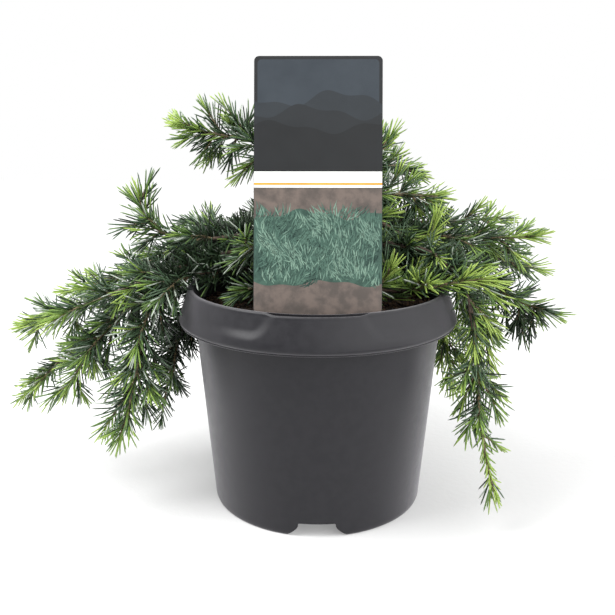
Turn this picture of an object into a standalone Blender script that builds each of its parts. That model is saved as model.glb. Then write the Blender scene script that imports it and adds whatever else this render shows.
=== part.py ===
"""A potted feeling blue deodar cedar, as separate solids in metres, +Z up.

The origin is on the pot's axis at the ground. -Y is the front, where the card label stands.
"""
import math
import random
from collections import namedtuple

import bmesh
import bpy
from mathutils import Quaternion, Vector
from mathutils.kdtree import KDTree

GAP = 0.0003
SLANT = 1.1  # a gap measured level beside the pot's slanting wall
MERGE = 0.00001

# Nursery pot, 19 cm across its folded rim
POT_STEPS = 48
POT_HEIGHT = 0.1505
RIM_RADIUS = 0.0950
RIM_TOP_RADIUS = 0.0885
RIM_ROUND = 0.0015
SKIRT_BOTTOM = 0.1270
NECK_RADIUS = 0.0838
HEEL_RADIUS = 0.0733
HEEL_HEIGHT = 0.0045
BASE_RADIUS = 0.0718
WALL = 0.0016
INNER_TOP_RADIUS = 0.0846
INNER_BASE_RADIUS = 0.0709
FOLD_TOP = 0.1465
FOLD_RADII = (0.0860, 0.0872)
FLOOR = 0.0022
FOOT_HEIGHT = 0.0085
FOOT_RADII = (0.0693, 0.0700)
PAD_RADIUS = 0.0385
PAD_TOP_RADIUS = 0.0360
CHANNEL_RADII = (0.0400, 0.0405)
POCKET_DEPTH = 0.0030
POCKET_HALF_ANGLE = math.radians(19)
FRONT = math.radians(270)

# Notches through the foot and drain holes in the floor
NOTCH_COUNT = 3
NOTCH_TOP_WIDTH = 0.024
NOTCH_FOOT_WIDTH = 0.037
NOTCH_HEIGHT = 0.0096
NOTCH_REACH = (0.064, 0.080)
NOTCH_BELOW = 0.002
HOLE_COUNT = 6
HOLE_RADIUS = 0.005
HOLE_PLACE = 0.055
HOLE_SIDES = 10

# Compost
SOIL_TOP = 0.1380

# Card label, which leans back on a tongue pushed into the compost
CARD_WIDTH = 0.0766
CARD_LENGTH = 0.1584
CARD_THICKNESS = 0.0006
CARD_LEAN = math.radians(13.6)
CARD_CORNER = 0.003
SHOULDER_CORNER = 0.006
SHOULDER_RISE = 0.002
TONGUE_WIDTH = 0.024
TONGUE_LENGTH = 0.038
BEND = Vector((0.0, -0.0740, 0.1430))

# Trunk: a straight lean to the right and a growing lean to the back, per 100 mm of height
TRUNK_FOOT = SOIL_TOP + GAP
TRUNK_TOP = 0.2400
TRUNK_PLACE = Vector((-0.002, 0.006, 0.0))
TRUNK_LEAN = Vector((0.004, 0.006, 0.1))
TRUNK_BOW = 0.005
TRUNK_RADII = (0.0072, 0.0031)
FLARE = 0.0035
FLARE_HEIGHT = 0.006
TRUNK_RINGS = 12
TRUNK_BURIED = 0.004
RING_CROWDING = 1.4
TRUNK_DETAIL = 3

# Boughs: each leaves the trunk at its root height, rises to its crest and falls to its tip.
# Heights and reach in metres, heading and sweep in degrees anticlockwise from +X, seen from above.
# Spread is a share of the usual reach of its shoots, and roll turns their two rows about it, in degrees.
Bough = namedtuple("Bough", "name habit root heading reach tip crest hang sweep spread roll")
HABITS = {
    "leading": (0.20, 0.60),
    "upright": (0.60, 1.00),
    "spreading": (0.46, 0.88),
    "arching": (0.60, 0.88),
    "weeping": (1.16, 0.82),
    "sweeping": (1.05, 0.70),
}
BOUGHS = (
    Bough("leader", "leading", 0.240, 76, 0.010, 0.272, 0.252, -0.008, 0, 1.0, 0),
    Bough("left_high", "spreading", 0.226, 165, 0.113, 0.262, 0.256, -0.016, -18, 1.0, 65),
    Bough("left_back", "spreading", 0.200, 142, 0.131, 0.186, 0.160, -0.006, 0, 1.0, 35),
    Bough("left_upright", "upright", 0.193, 192, 0.120, 0.221, 0.180, -0.054, -8, 0.7, 50),
    Bough("left_middle", "spreading", 0.186, 167, 0.206, 0.135, 0.192, -0.014, -8, 1.0, 0),
    Bough("left_long", "spreading", 0.179, 184, 0.210, 0.121, 0.182, -0.006, 12, 1.0, 0),
    Bough("left_far", "spreading", 0.172, 177, 0.227, 0.054, 0.194, 0.018, -18, 0.9, 0),
    Bough("left_fall", "arching", 0.165, 189, 0.178, 0.071, 0.188, 0.042, -18, 0.9, 0),
    Bough("left_weep", "sweeping", 0.158, 202, 0.144, 0.045, 0.172, 0.099, -12, 0.7, 0),
    Bough("left_inner", "weeping", 0.151, 169, 0.121, 0.031, 0.191, 0.112, -44, 0.7, 0),
    Bough("right_high", "spreading", 0.236, 19, 0.057, 0.253, 0.236, -0.018, -4, 0.8, 60),
    Bough("right_crest", "spreading", 0.221, 30, 0.091, 0.218, 0.230, 0.014, -2, 0.9, 30),
    Bough("right_upper", "spreading", 0.214, 10, 0.094, 0.210, 0.214, -0.006, 0, 0.9, 0),
    Bough("right_upright", "upright", 0.207, 348, 0.080, 0.205, 0.203, -0.054, 4, 0.6, 60),
    Bough("right_spread", "spreading", 0.200, 25, 0.173, 0.184, 0.178, 0.008, -2, 0.9, 0),
    Bough("right_reach", "spreading", 0.193, 0, 0.159, 0.182, 0.176, 0.000, 10, 0.9, 0),
    Bough("right_lower", "spreading", 0.186, 16, 0.184, 0.147, 0.174, 0.008, 12, 0.9, 0),
    Bough("right_far", "spreading", 0.179, 356, 0.173, 0.129, 0.175, -0.003, 8, 0.8, 0),
    Bough("right_front", "spreading", 0.165, 332, 0.132, 0.158, 0.127, 0.022, -9, 0.8, 0),
    Bough("right_weep", "sweeping", 0.172, 326, 0.141, 0.021, 0.209, 0.086, 16, 0.45, 0),
    Bough("right_fall", "arching", 0.158, 0, 0.126, 0.081, 0.198, 0.092, 26, 0.55, 0),
    Bough("right_inner", "weeping", 0.151, 25, 0.121, 0.047, 0.175, 0.107, 23, 0.6, 0),
    Bough("back_left", "spreading", 0.214, 128, 0.150, 0.112, 0.200, 0.050, 0, 1.0, 0),
    Bough("back_mid_left", "spreading", 0.202, 104, 0.168, 0.060, 0.216, 0.090, 0, 1.0, 0),
    Bough("back_mid_right", "spreading", 0.190, 76, 0.160, 0.084, 0.204, 0.070, 0, 1.0, 0),
    Bough("back_right", "spreading", 0.178, 50, 0.150, 0.096, 0.196, 0.050, 4, 1.0, 0),
    Bough("front_left", "spreading", 0.184, 226, 0.072, 0.186, 0.190, -0.010, 0, 1.0, 0),
    Bough("front_right", "spreading", 0.172, 316, 0.068, 0.178, 0.156, -0.042, -30, 1.0, 0),
    Bough("low_left", "spreading", 0.146, 224, 0.070, 0.155, 0.152, 0.000, 0, 1.0, 0),
    Bough("low_right", "spreading", 0.146, 286, 0.058, 0.153, 0.152, -0.002, 0, 1.0, 0),
    Bough("low_back", "spreading", 0.147, 88, 0.070, 0.156, 0.157, -0.002, 0, 1.0, 0),
)
LINE_STEPS = 80
BARE_SHARE = 0.20
WOOD_RADII = (0.0024, 0.0019)
WOOD_SEGMENTS = 6
WOOD_DETAIL = 1
DIRECT = (
    "leader",
    "right_high",
    "right_upright",
    "front_left",
    "front_right",
    "low_left",
    "low_right",
    "low_back",
)
DIRECT_BARE = 0.010

# Foliage: a stem goes on from each bough, with shoots on both sides and sprays of needles all along
STEM_RADII = (0.0019, 0.0009)
SHOOT_RADII = (0.0013, 0.0007)
TIP_RADIUS = 0.0003
SHOOT_DETAIL = 0
STEM_STEP = 0.015
COLLAR = 0.002
STEM_LEAST = 4
SHOOT_SPACING = 0.026
SHOOT_ZONE = (0.10, 0.72)
SHOOT_JITTER = 0.6
SHOOT_REACH = (0.012, 0.32)
SHOOT_FALL_OFF = 0.7
SHOOT_LIFT = (-50, 35)
SHOOT_LEAST = 0.014
SHOOT_STEP = 0.004
SHOOT_SEGMENTS = 3
SHOOT_ANGLE = math.radians(50)
SHOOT_DROOP = 12.0
SPRAY_REACH = 0.018
SPRAY_ANGLE = math.radians(38)
SPRAY_SHARE = 0.66
SPRAY_SPREAD = (0.8, 1.0)
SPRAY_TRIES = (1.0, 0.7, 0.45)
SPRAY_END = 0.75
CELL_MARGIN = 0.002
LIMB_MARGIN = 0.0045
CLEARANCE = 0.002

COLOURS = {
    "pot": (0.075, 0.074, 0.082),
    "soil": (0.045, 0.032, 0.022),
    "label": (0.10, 0.12, 0.13),
    "bark": (0.20, 0.12, 0.07),
    "needles": (0.10, 0.20, 0.07),
}


def clear_scene():
    """Remove what a new Blender file holds."""
    for thing in list(bpy.data.objects):
        bpy.data.objects.remove(thing, do_unlink=True)


def new_collection(name):
    """Return a new collection in the scene."""
    group = bpy.data.collections.new(name)
    bpy.context.scene.collection.children.link(group)
    return group


def new_material(name, colour, roughness):
    """Return a plain Principled material."""
    material = bpy.data.materials.new(name)
    material.use_nodes = True
    shader = material.node_tree.nodes["Principled BSDF"]
    shader.inputs["Base Color"].default_value = (*colour, 1.0)
    shader.inputs["Roughness"].default_value = roughness
    shader.inputs["Metallic"].default_value = 0.0
    return material


def new_object(name, mesh, group, material=None):
    """Return an object that holds the mesh, in a collection."""
    thing = bpy.data.objects.new(name, mesh)
    group.objects.link(thing)
    if material:
        mesh.materials.clear()
        mesh.materials.append(material)
    return thing


def evaluated_mesh(thing):
    """Return a new mesh: the object with its modifiers applied."""
    bpy.context.view_layer.update()
    graph = bpy.context.evaluated_depsgraph_get()
    return bpy.data.meshes.new_from_object(thing.evaluated_get(graph), depsgraph=graph)


def add_boolean(thing, operation, other):
    """Add an exact Boolean with another object, or with all that a collection holds."""
    modifier = thing.modifiers.new(operation.lower(), "BOOLEAN")
    modifier.operation = operation
    modifier.solver = "EXACT"
    if isinstance(other, bpy.types.Collection):
        modifier.operand_type = "COLLECTION"
        modifier.collection = other
        modifier.use_self = True
    else:
        modifier.object = other
    return modifier


def hide_cutter(thing):
    """Mark an object as a cutter."""
    thing.hide_render = True
    thing.display_type = "WIRE"


def tube_mesh(name, points, radii, resolution):
    """Return a closed tube through the points, with a radius at each and 4 + 2 * resolution sides."""
    curve = bpy.data.curves.new(name, "CURVE")
    curve.dimensions = "3D"
    curve.bevel_depth = 1.0
    curve.bevel_resolution = resolution
    curve.use_fill_caps = True
    spline = curve.splines.new("POLY")
    spline.points.add(len(points) - 1)
    for knot, point, radius in zip(spline.points, points, radii):
        knot.co = (*point, 1.0)
        knot.radius = radius
    guide = new_object(name, curve, bpy.context.scene.collection)
    mesh = evaluated_mesh(guide)
    bpy.data.objects.remove(guide)
    bm = bmesh.new()
    bm.from_mesh(mesh)
    bmesh.ops.remove_doubles(bm, verts=bm.verts, dist=MERGE)
    bmesh.ops.recalc_face_normals(bm, faces=bm.faces)
    bm.to_mesh(mesh)
    bm.free()
    return mesh


def tapered(radii, count):
    """Return radii that go evenly from the first to the last."""
    return [radii[0] + (radii[1] - radii[0]) * step / (count - 1) for step in range(count)]


# Pot and compost


def turned_object(name, profile, group, material):
    """Turn a profile of radius and height about the Z axis."""
    mesh = bpy.data.meshes.new(name)
    corners = [(radius, 0.0, height) for radius, height in profile]
    edges = [(corner, corner + 1) for corner in range(len(corners) - 1)]
    mesh.from_pydata(corners, edges, [])
    thing = new_object(name, mesh, group, material)
    screw = thing.modifiers.new("turn", "SCREW")
    screw.steps = POT_STEPS
    screw.render_steps = POT_STEPS
    screw.use_merge_vertices = True
    screw.merge_threshold = MERGE
    thing.data = evaluated_mesh(thing)
    thing.modifiers.clear()
    return thing


def inner_radius(height):
    """Return the radius of the pot's inside at a height above its floor."""
    share = (height - FOOT_HEIGHT - FLOOR) / (POT_HEIGHT - RIM_ROUND - FOOT_HEIGHT - FLOOR)
    return INNER_BASE_RADIUS + (INNER_TOP_RADIUS - INNER_BASE_RADIUS) * share


def pot_profile():
    """Return the pot's section: up its inside, over the folded rim and down its outside."""
    channel_top = FOOT_HEIGHT + FLOOR
    rim_low = POT_HEIGHT - RIM_ROUND
    return (
        (0.0, FLOOR),
        (PAD_TOP_RADIUS, FLOOR),
        (CHANNEL_RADII[0], channel_top),
        (INNER_BASE_RADIUS, channel_top),
        (INNER_TOP_RADIUS, rim_low),
        (INNER_TOP_RADIUS + RIM_ROUND / 2, POT_HEIGHT),
        (RIM_TOP_RADIUS - RIM_ROUND / 2, POT_HEIGHT),
        (RIM_TOP_RADIUS, rim_low),
        (RIM_RADIUS, SKIRT_BOTTOM + RIM_ROUND),
        (RIM_RADIUS - GAP, SKIRT_BOTTOM),
        (RIM_RADIUS - WALL, SKIRT_BOTTOM),
        (FOLD_RADII[1], FOLD_TOP),
        (FOLD_RADII[0], FOLD_TOP),
        (NECK_RADIUS, SKIRT_BOTTOM),
        (HEEL_RADIUS, HEEL_HEIGHT),
        (BASE_RADIUS, 0.0),
        (FOOT_RADII[1], 0.0),
        (FOOT_RADII[0], FOOT_HEIGHT),
        (CHANNEL_RADII[1], FOOT_HEIGHT),
        (PAD_RADIUS, 0.0),
        (0.0, 0.0),
    )


def push_out_pocket(mesh):
    """Move the front of the rim's skirt outwards, where the label pocket is."""
    for corner in mesh.vertices:
        radius = math.hypot(corner.co.x, corner.co.y)
        if corner.co.z < SKIRT_BOTTOM - MERGE or radius < sum(FOLD_RADII) / 2:
            continue
        turn = math.atan2(corner.co.y, corner.co.x) - FRONT
        turn = abs((turn + math.pi) % (2 * math.pi) - math.pi)
        if turn < POCKET_HALF_ANGLE:
            corner.co.x *= 1.0 + POCKET_DEPTH / radius
            corner.co.y *= 1.0 + POCKET_DEPTH / radius


def notch_cutter(heading, group):
    """Make a wedge that opens a notch in the pot's foot: wide at the ground, narrower above."""
    inner, outer = NOTCH_REACH
    slope = (NOTCH_FOOT_WIDTH - NOTCH_TOP_WIDTH) / NOTCH_HEIGHT
    bm = bmesh.new()
    bmesh.ops.create_cube(bm, size=1.0)
    for corner in bm.verts:
        corner.co.x = (inner + outer) / 2 + corner.co.x * (outer - inner)
        corner.co.z = NOTCH_HEIGHT if corner.co.z > 0 else -NOTCH_BELOW
        corner.co.y *= NOTCH_TOP_WIDTH + slope * (NOTCH_HEIGHT - corner.co.z)
    mesh = bpy.data.meshes.new("notch")
    bm.to_mesh(mesh)
    bm.free()
    cutter = new_object("notch_cutter", mesh, group)
    cutter.rotation_euler.z = heading
    hide_cutter(cutter)
    return cutter


def hole_cutter(heading, group):
    """Make a drum that drills a drain hole in the raised ring of the floor."""
    bm = bmesh.new()
    bmesh.ops.create_cone(
        bm, cap_ends=True, segments=HOLE_SIDES, radius1=HOLE_RADIUS, radius2=HOLE_RADIUS, depth=4 * FLOOR
    )
    mesh = bpy.data.meshes.new("hole")
    bm.to_mesh(mesh)
    bm.free()
    cutter = new_object("hole_cutter", mesh, group)
    cutter.location = (
        HOLE_PLACE * math.cos(heading),
        HOLE_PLACE * math.sin(heading),
        FOOT_HEIGHT + FLOOR / 2,
    )
    hide_cutter(cutter)
    return cutter


def build_pot(parts, cutters, material):
    """Make the pot: wall, folded rim, stepped floor, notched foot and drain holes."""
    pot = turned_object("pot", pot_profile(), parts, material)
    push_out_pocket(pot.data)
    pot.data.shade_smooth()
    pot.data.set_sharp_from_angle(angle=math.radians(35))
    for notch in range(NOTCH_COUNT):
        heading = FRONT + notch * 2 * math.pi / NOTCH_COUNT
        add_boolean(pot, "DIFFERENCE", notch_cutter(heading, cutters))
    for hole in range(HOLE_COUNT):
        heading = hole * 2 * math.pi / HOLE_COUNT
        add_boolean(pot, "DIFFERENCE", hole_cutter(heading, cutters))
    return pot


def build_soil(parts, cutters, material):
    """Make the compost that fills the pot, with a slot for the label's tongue."""
    channel = FOOT_HEIGHT + FLOOR + GAP
    profile = (
        (0.0, SOIL_TOP),
        (inner_radius(SOIL_TOP) - SLANT * GAP, SOIL_TOP),
        (inner_radius(channel) - SLANT * GAP, channel),
        (CHANNEL_RADII[0] - GAP, channel),
        (PAD_TOP_RADIUS - GAP, FLOOR + GAP),
        (0.0, FLOOR + GAP),
    )
    soil = turned_object("soil", profile, parts, material)
    bm = bmesh.new()
    bmesh.ops.create_cube(bm, size=1.0)
    mesh = bpy.data.meshes.new("slot")
    bm.to_mesh(mesh)
    bm.free()
    slot = new_object("slot_cutter", mesh, cutters)
    slot.scale = (TONGUE_WIDTH + 2 * GAP, CARD_THICKNESS + 2 * GAP, 2 * (TONGUE_LENGTH + GAP))
    slot.location = BEND
    hide_cutter(slot)
    add_boolean(soil, "DIFFERENCE", slot)
    return soil


# Card label


def arc(centre, radius, start, end, steps=4):
    """Return points on an arc, in the card's own plane."""
    turns = [math.radians(start + (end - start) * step / steps) for step in range(steps + 1)]
    return [(centre[0] + radius * math.cos(turn), centre[1] + radius * math.sin(turn)) for turn in turns]


def card_outline():
    """Return the card's outline anticlockwise: a tongue, shoulders with wide corners and a rounded top."""
    half = CARD_WIDTH / 2
    tongue = TONGUE_WIDTH / 2
    right = [(tongue, -TONGUE_LENGTH), (tongue, SHOULDER_RISE)]
    right += arc((half - SHOULDER_CORNER, SHOULDER_RISE + SHOULDER_CORNER), SHOULDER_CORNER, -90, 0)
    right += arc((half - CARD_CORNER, CARD_LENGTH - CARD_CORNER), CARD_CORNER, 0, 90)
    left = [(-across, along) for across, along in reversed(right)]
    return right + left


def build_label(parts, material):
    """Make the card: a flat outline bent where it enters the compost, then given its thickness."""
    bm = bmesh.new()
    corners = [bm.verts.new((across, 0.0, along)) for across, along in card_outline()]
    bm.faces.new(corners)
    everything = bm.verts[:] + bm.edges[:] + bm.faces[:]
    bmesh.ops.bisect_plane(bm, geom=everything, plane_co=(0, 0, 0), plane_no=(0, 0, 1))
    for corner in bm.verts:
        along = corner.co.z
        lean = CARD_LEAN if along > 0.0 else 0.0
        corner.co.y = along * math.sin(lean)
        corner.co.z = along * math.cos(lean)
        corner.co += BEND
    mesh = bpy.data.meshes.new("label")
    bm.to_mesh(mesh)
    bm.free()
    label = new_object("label", mesh, parts, material)
    solid = label.modifiers.new("thickness", "SOLIDIFY")
    solid.thickness = CARD_THICKNESS
    solid.offset = 0.0
    solid.use_even_offset = True
    return label


# Trunk


def trunk_centre(height):
    """Return the trunk's centre at a height above the ground."""
    share = (height - TRUNK_FOOT) / TRUNK_LEAN.z
    across = TRUNK_PLACE.x + TRUNK_LEAN.x * share
    back = TRUNK_PLACE.y + TRUNK_LEAN.y * share + TRUNK_BOW * share * share
    return Vector((across, back, height))


def trunk_radius(height):
    """Return the trunk's radius: an even taper, with a flare at its foot."""
    share = (height - TRUNK_FOOT) / (TRUNK_TOP - TRUNK_FOOT)
    taper = TRUNK_RADII[0] + (TRUNK_RADII[1] - TRUNK_RADII[0]) * share
    return taper + FLARE * math.exp(-max(height - TRUNK_FOOT, 0.0) / FLARE_HEIGHT)


def trunk_tube(name, extra):
    """Return a mesh of the trunk, thicker by extra, that starts below the ground."""
    low = TRUNK_FOOT - TRUNK_BURIED
    shares = [ring / TRUNK_RINGS for ring in range(TRUNK_RINGS + 1)]
    heights = [low + (TRUNK_TOP + extra - low) * share**RING_CROWDING for share in shares]
    points = [trunk_centre(height) for height in heights]
    return tube_mesh(name, points, [trunk_radius(height) + extra for height in heights], TRUNK_DETAIL)


def build_trunk(parts, material):
    """Make the trunk, cut flat where it leaves the compost."""
    mesh = trunk_tube("trunk", 0.0)
    bm = bmesh.new()
    bm.from_mesh(mesh)
    everything = bm.verts[:] + bm.edges[:] + bm.faces[:]
    cut = bmesh.ops.bisect_plane(
        bm, geom=everything, plane_co=(0, 0, TRUNK_FOOT), plane_no=(0, 0, -1), clear_outer=True
    )
    edges = [piece for piece in cut["geom_cut"] if isinstance(piece, bmesh.types.BMEdge)]
    bmesh.ops.contextual_create(bm, geom=edges)
    bmesh.ops.recalc_face_normals(bm, faces=bm.faces)
    bm.to_mesh(mesh)
    bm.free()
    mesh.shade_smooth()
    mesh.set_sharp_from_angle(angle=math.radians(50))
    return new_object("trunk", mesh, parts, material)


# Boughs


def bough_line(bough):
    """Return closely spaced points on a bough's curve, from the trunk's axis to its furthest tip."""
    bend, lead = HABITS[bough.habit]
    root = trunk_centre(bough.root)
    heading = math.radians(bough.heading)
    swept = math.radians(bough.heading + bough.sweep)
    way = Vector((math.cos(heading), math.sin(heading), 0.0)) * bough.reach
    bent = Vector((math.cos(swept), math.sin(swept), 0.0)) * bough.reach * bend
    foot = Vector((root.x, root.y, 0.0))
    knots = (
        root,
        foot + bent + Vector((0.0, 0.0, bough.crest)),
        foot + way * lead + Vector((0.0, 0.0, bough.tip + bough.hang)),
        foot + way + Vector((0.0, 0.0, bough.tip)),
    )
    weights = (1, 3, 3, 1)
    line = []
    for step in range(LINE_STEPS + 1):
        share = step / LINE_STEPS
        point = Vector()
        for order, knot in enumerate(knots):
            point += knot * weights[order] * share**order * (1 - share) ** (3 - order)
        line.append(point)
    return line


def line_length(line):
    """Return the length along a line of points."""
    return sum((end - start).length for start, end in zip(line, line[1:]))


def point_along(line, distance):
    """Return the point at a distance along a line, and the direction there."""
    for start, end in zip(line, line[1:]):
        step = (end - start).length
        if distance <= step:
            return start.lerp(end, distance / step), (end - start).normalized()
        distance -= step
    return line[-1].copy(), (line[-1] - line[-2]).normalized()


def stretch(line, start, end, segments):
    """Return evenly spaced points along part of a line."""
    return [point_along(line, start + (end - start) * step / segments)[0] for step in range(segments + 1)]


def bare_length(bough, line):
    """Return how far along its curve a bough is bare wood."""
    if bough.name in DIRECT:
        return 0.0
    return BARE_SHARE * line_length(line)


def build_bough(bough, line, trunk_cutter, parts, material):
    """Make the bare wood of a bough, cut clear of the trunk."""
    points = stretch(line, 0.0, bare_length(bough, line), WOOD_SEGMENTS)
    mesh = tube_mesh(bough.name, points, tapered(WOOD_RADII, len(points)), WOOD_DETAIL)
    mesh.shade_smooth()
    wood = new_object("bough_" + bough.name, mesh, parts, material)
    add_boolean(wood, "DIFFERENCE", trunk_cutter)
    return wood


# Foliage


class Space:
    """The space that each mass of foliage keeps to: nearer to its own bough's curve than to another."""

    def __init__(self, lines):
        self.owners = [name for name, line in lines.items() for _ in line]
        self.tree = KDTree(len(self.owners))
        points = [point for line in lines.values() for point in line]
        for index, point in enumerate(points):
            self.tree.insert(point, index)
        self.tree.balance()

    def holds(self, point, owner):
        """Tell whether a point is in the owner's space and clear of everything else."""
        own = self.tree.find(point, filter=lambda index: self.owners[index] == owner)[2]
        other = self.tree.find(point, filter=lambda index: self.owners[index] != owner)[2]
        if other < max(own + CELL_MARGIN, LIMB_MARGIN):
            return False
        return clear_of_trunk(point) and clear_of_pot(point) and clear_of_label(point)

    def holds_run(self, start, end, owner):
        """Tell whether the outer part of a straight run is in the owner's space."""
        return all(self.holds(start.lerp(end, share), owner) for share in (0.5, 0.75, 1.0))


def clear_of_trunk(point):
    """Tell whether a point keeps clear of the trunk."""
    if point.z > TRUNK_TOP + CLEARANCE:
        return True
    centre = trunk_centre(point.z)
    return (point - centre).length > trunk_radius(point.z) + CLEARANCE


def clear_of_pot(point):
    """Tell whether a point keeps clear of the pot, the compost and the ground."""
    radius = math.hypot(point.x, point.y)
    if point.z > POT_HEIGHT + CLEARANCE:
        return True
    if point.z > SOIL_TOP + CLEARANCE and radius < INNER_TOP_RADIUS - CLEARANCE - WALL:
        return True
    if point.z < SKIRT_BOTTOM - CLEARANCE and radius > NECK_RADIUS + CLEARANCE:
        return point.z > CLEARANCE
    return radius > RIM_RADIUS + POCKET_DEPTH + CLEARANCE and point.z > CLEARANCE


def clear_of_label(point):
    """Tell whether a point is beside the card or well behind it."""
    if abs(point.x) > CARD_WIDTH / 2 + CLEARANCE or point.z < SOIL_TOP:
        return True
    behind = (point.y - BEND.y) * math.cos(CARD_LEAN) - (point.z - BEND.z) * math.sin(CARD_LEAN)
    return behind > CLEARANCE


def spray_tip(centre, line, reach, owner, space):
    """Return where a spray of needles ends that leaves the face's centre outwards and forwards."""
    start, way = min(
        ((start, end - start) for start, end in zip(line, line[1:])),
        key=lambda run: (run[0] + run[1] / 2 - centre).length,
    )
    way.normalize()
    outward = centre - start
    outward -= way * outward.dot(way)
    if outward.length < 0.0001:
        return None
    outward.normalize()
    aim = way * math.cos(SPRAY_ANGLE) + outward * math.sin(SPRAY_ANGLE)
    for share in SPRAY_TRIES:
        tip = centre + aim * reach * share
        if space.holds_run(centre, tip, owner):
            return tip
    return None


def add_sprays(mesh, line, reach, owner, space, chance, bare):
    """Draw the centres of a tube's side faces out into sprays of needles."""
    bm = bmesh.new()
    bm.from_mesh(mesh)
    tip = line[-1]
    for face in list(bm.faces):
        centre = face.calc_center_median()
        ending = len(face.verts) != 4 or (centre - tip).length < SPRAY_END * reach
        if ending or (centre - line[0]).length < bare or chance.random() > SPRAY_SHARE:
            continue
        away = spray_tip(centre, line, reach * chance.uniform(*SPRAY_SPREAD), owner, space)
        if away:
            bmesh.ops.poke(bm, faces=[face])["verts"][0].co = away
    bm.to_mesh(mesh)
    bm.free()


def shoot_line(start, aim, reach, owner, space):
    """Return the path of a side shoot that droops as it grows and stops where its space ends."""
    path = [start]
    way = aim.normalized()
    for _ in range(int(reach / SHOOT_STEP)):
        point = path[-1] + way * SHOOT_STEP
        if len(path) > 1 and not space.holds(point, owner):
            break
        path.append(point)
        way = (way - Vector((0.0, 0.0, SHOOT_DROOP * SHOOT_STEP))).normalized()
    return path


def shoot_aims(bough, stem, chance):
    """Yield each side shoot's start, direction and reach, on alternate sides of the stem."""
    length = line_length(stem)
    count = max(2, round(length / SHOOT_SPACING))
    heading = math.radians(bough.heading)
    across = Vector((-math.sin(heading), math.cos(heading), 0.0))
    for number in range(count):
        share = SHOOT_ZONE[0] + SHOOT_ZONE[1] * (number + chance.uniform(0.0, SHOOT_JITTER)) / count
        start, way = point_along(stem, share * length)
        above = across.cross(way).normalized()
        if above.z < 0:
            above.negate()
        lift = math.radians(chance.uniform(*SHOOT_LIFT))
        side = across * (1 if number % 2 else -1)
        out = side * math.cos(lift) + above * math.sin(lift)
        out.rotate(Quaternion(way, math.radians(bough.roll)))
        aim = way * math.cos(SHOOT_ANGLE) + out * math.sin(SHOOT_ANGLE)
        reach = SHOOT_REACH[1] * length * bough.spread * (1.0 - share) ** SHOOT_FALL_OFF
        yield start, aim, SHOOT_REACH[0] + reach


def build_foliage(bough, line, space, trunk_cutter, parts, material):
    """Make a mass: its stem and side shoots with their sprays, joined in one solid."""
    chance = random.Random(bough.name)
    name = "foliage_" + bough.name
    start = bare_length(bough, line)
    if bough.name not in DIRECT or bough.name == "leader":
        start += GAP
    length = line_length(line)
    segments = max(STEM_LEAST, round((length - start) / STEM_STEP))
    stem = stretch(line, start, start, 1)[:1] + stretch(line, start + COLLAR, length, segments)
    radii = tapered(STEM_RADII, len(stem) - 1) + [TIP_RADIUS]
    mesh = tube_mesh(name, stem, radii, SHOOT_DETAIL)
    aims = list(shoot_aims(bough, stem, chance))
    bare = DIRECT_BARE if bough.name in DIRECT else 1.5 * COLLAR
    add_sprays(mesh, stem, SPRAY_REACH, bough.name, space, chance, bare)
    mass = new_object(name, mesh, parts, material)
    shoots = bpy.data.collections.new(name + "_shoots")
    for shoot_start, aim, reach in aims:
        path = shoot_line(shoot_start, aim, reach, bough.name, space)
        if line_length(path) < SHOOT_LEAST:
            continue
        points = stretch(path, 0.0, line_length(path), SHOOT_SEGMENTS)
        radii = tapered(SHOOT_RADII, SHOOT_SEGMENTS) + [TIP_RADIUS]
        shoot = tube_mesh(name + "_shoot", points, radii, SHOOT_DETAIL)
        add_sprays(shoot, points, SPRAY_REACH, bough.name, space, chance, 2 * COLLAR)
        new_object(name + "_shoot", shoot, shoots)
    if shoots.objects:
        add_boolean(mass, "UNION", shoots)
    if bough.name in DIRECT and bough.name != "leader":
        add_boolean(mass, "DIFFERENCE", trunk_cutter)
    mass.data = evaluated_mesh(mass)
    mass.modifiers.clear()
    for shoot in list(shoots.objects):
        bpy.data.objects.remove(shoot)
    bpy.data.collections.remove(shoots)
    return mass


def build_plant():
    """Make every piece."""
    clear_scene()
    parts = new_collection("potted_cedar")
    cutters = new_collection("cutters")
    plastic = new_material("pot_plastic", COLOURS["pot"], 0.45)
    compost = new_material("compost", COLOURS["soil"], 0.95)
    card = new_material("card", COLOURS["label"], 0.4)
    bark = new_material("bark", COLOURS["bark"], 0.85)
    build_pot(parts, cutters, plastic)
    build_soil(parts, cutters, compost)
    build_label(parts, card)
    build_trunk(parts, bark)
    trunk_cutter = new_object("trunk_cutter", trunk_tube("trunk_cutter", GAP), cutters)
    hide_cutter(trunk_cutter)
    lines = {bough.name: bough_line(bough) for bough in BOUGHS}
    space = Space(lines)
    for bough in BOUGHS:
        line = lines[bough.name]
        if bough.name not in DIRECT:
            build_bough(bough, line, trunk_cutter, parts, bark.copy())
        needles = new_material("needles_" + bough.name, COLOURS["needles"], 0.6)
        build_foliage(bough, line, space, trunk_cutter, parts, needles)


build_plant()
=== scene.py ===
import math
import random
from collections import namedtuple

import bmesh
import bpy
import numpy as np
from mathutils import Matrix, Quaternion, Vector, noise


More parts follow.
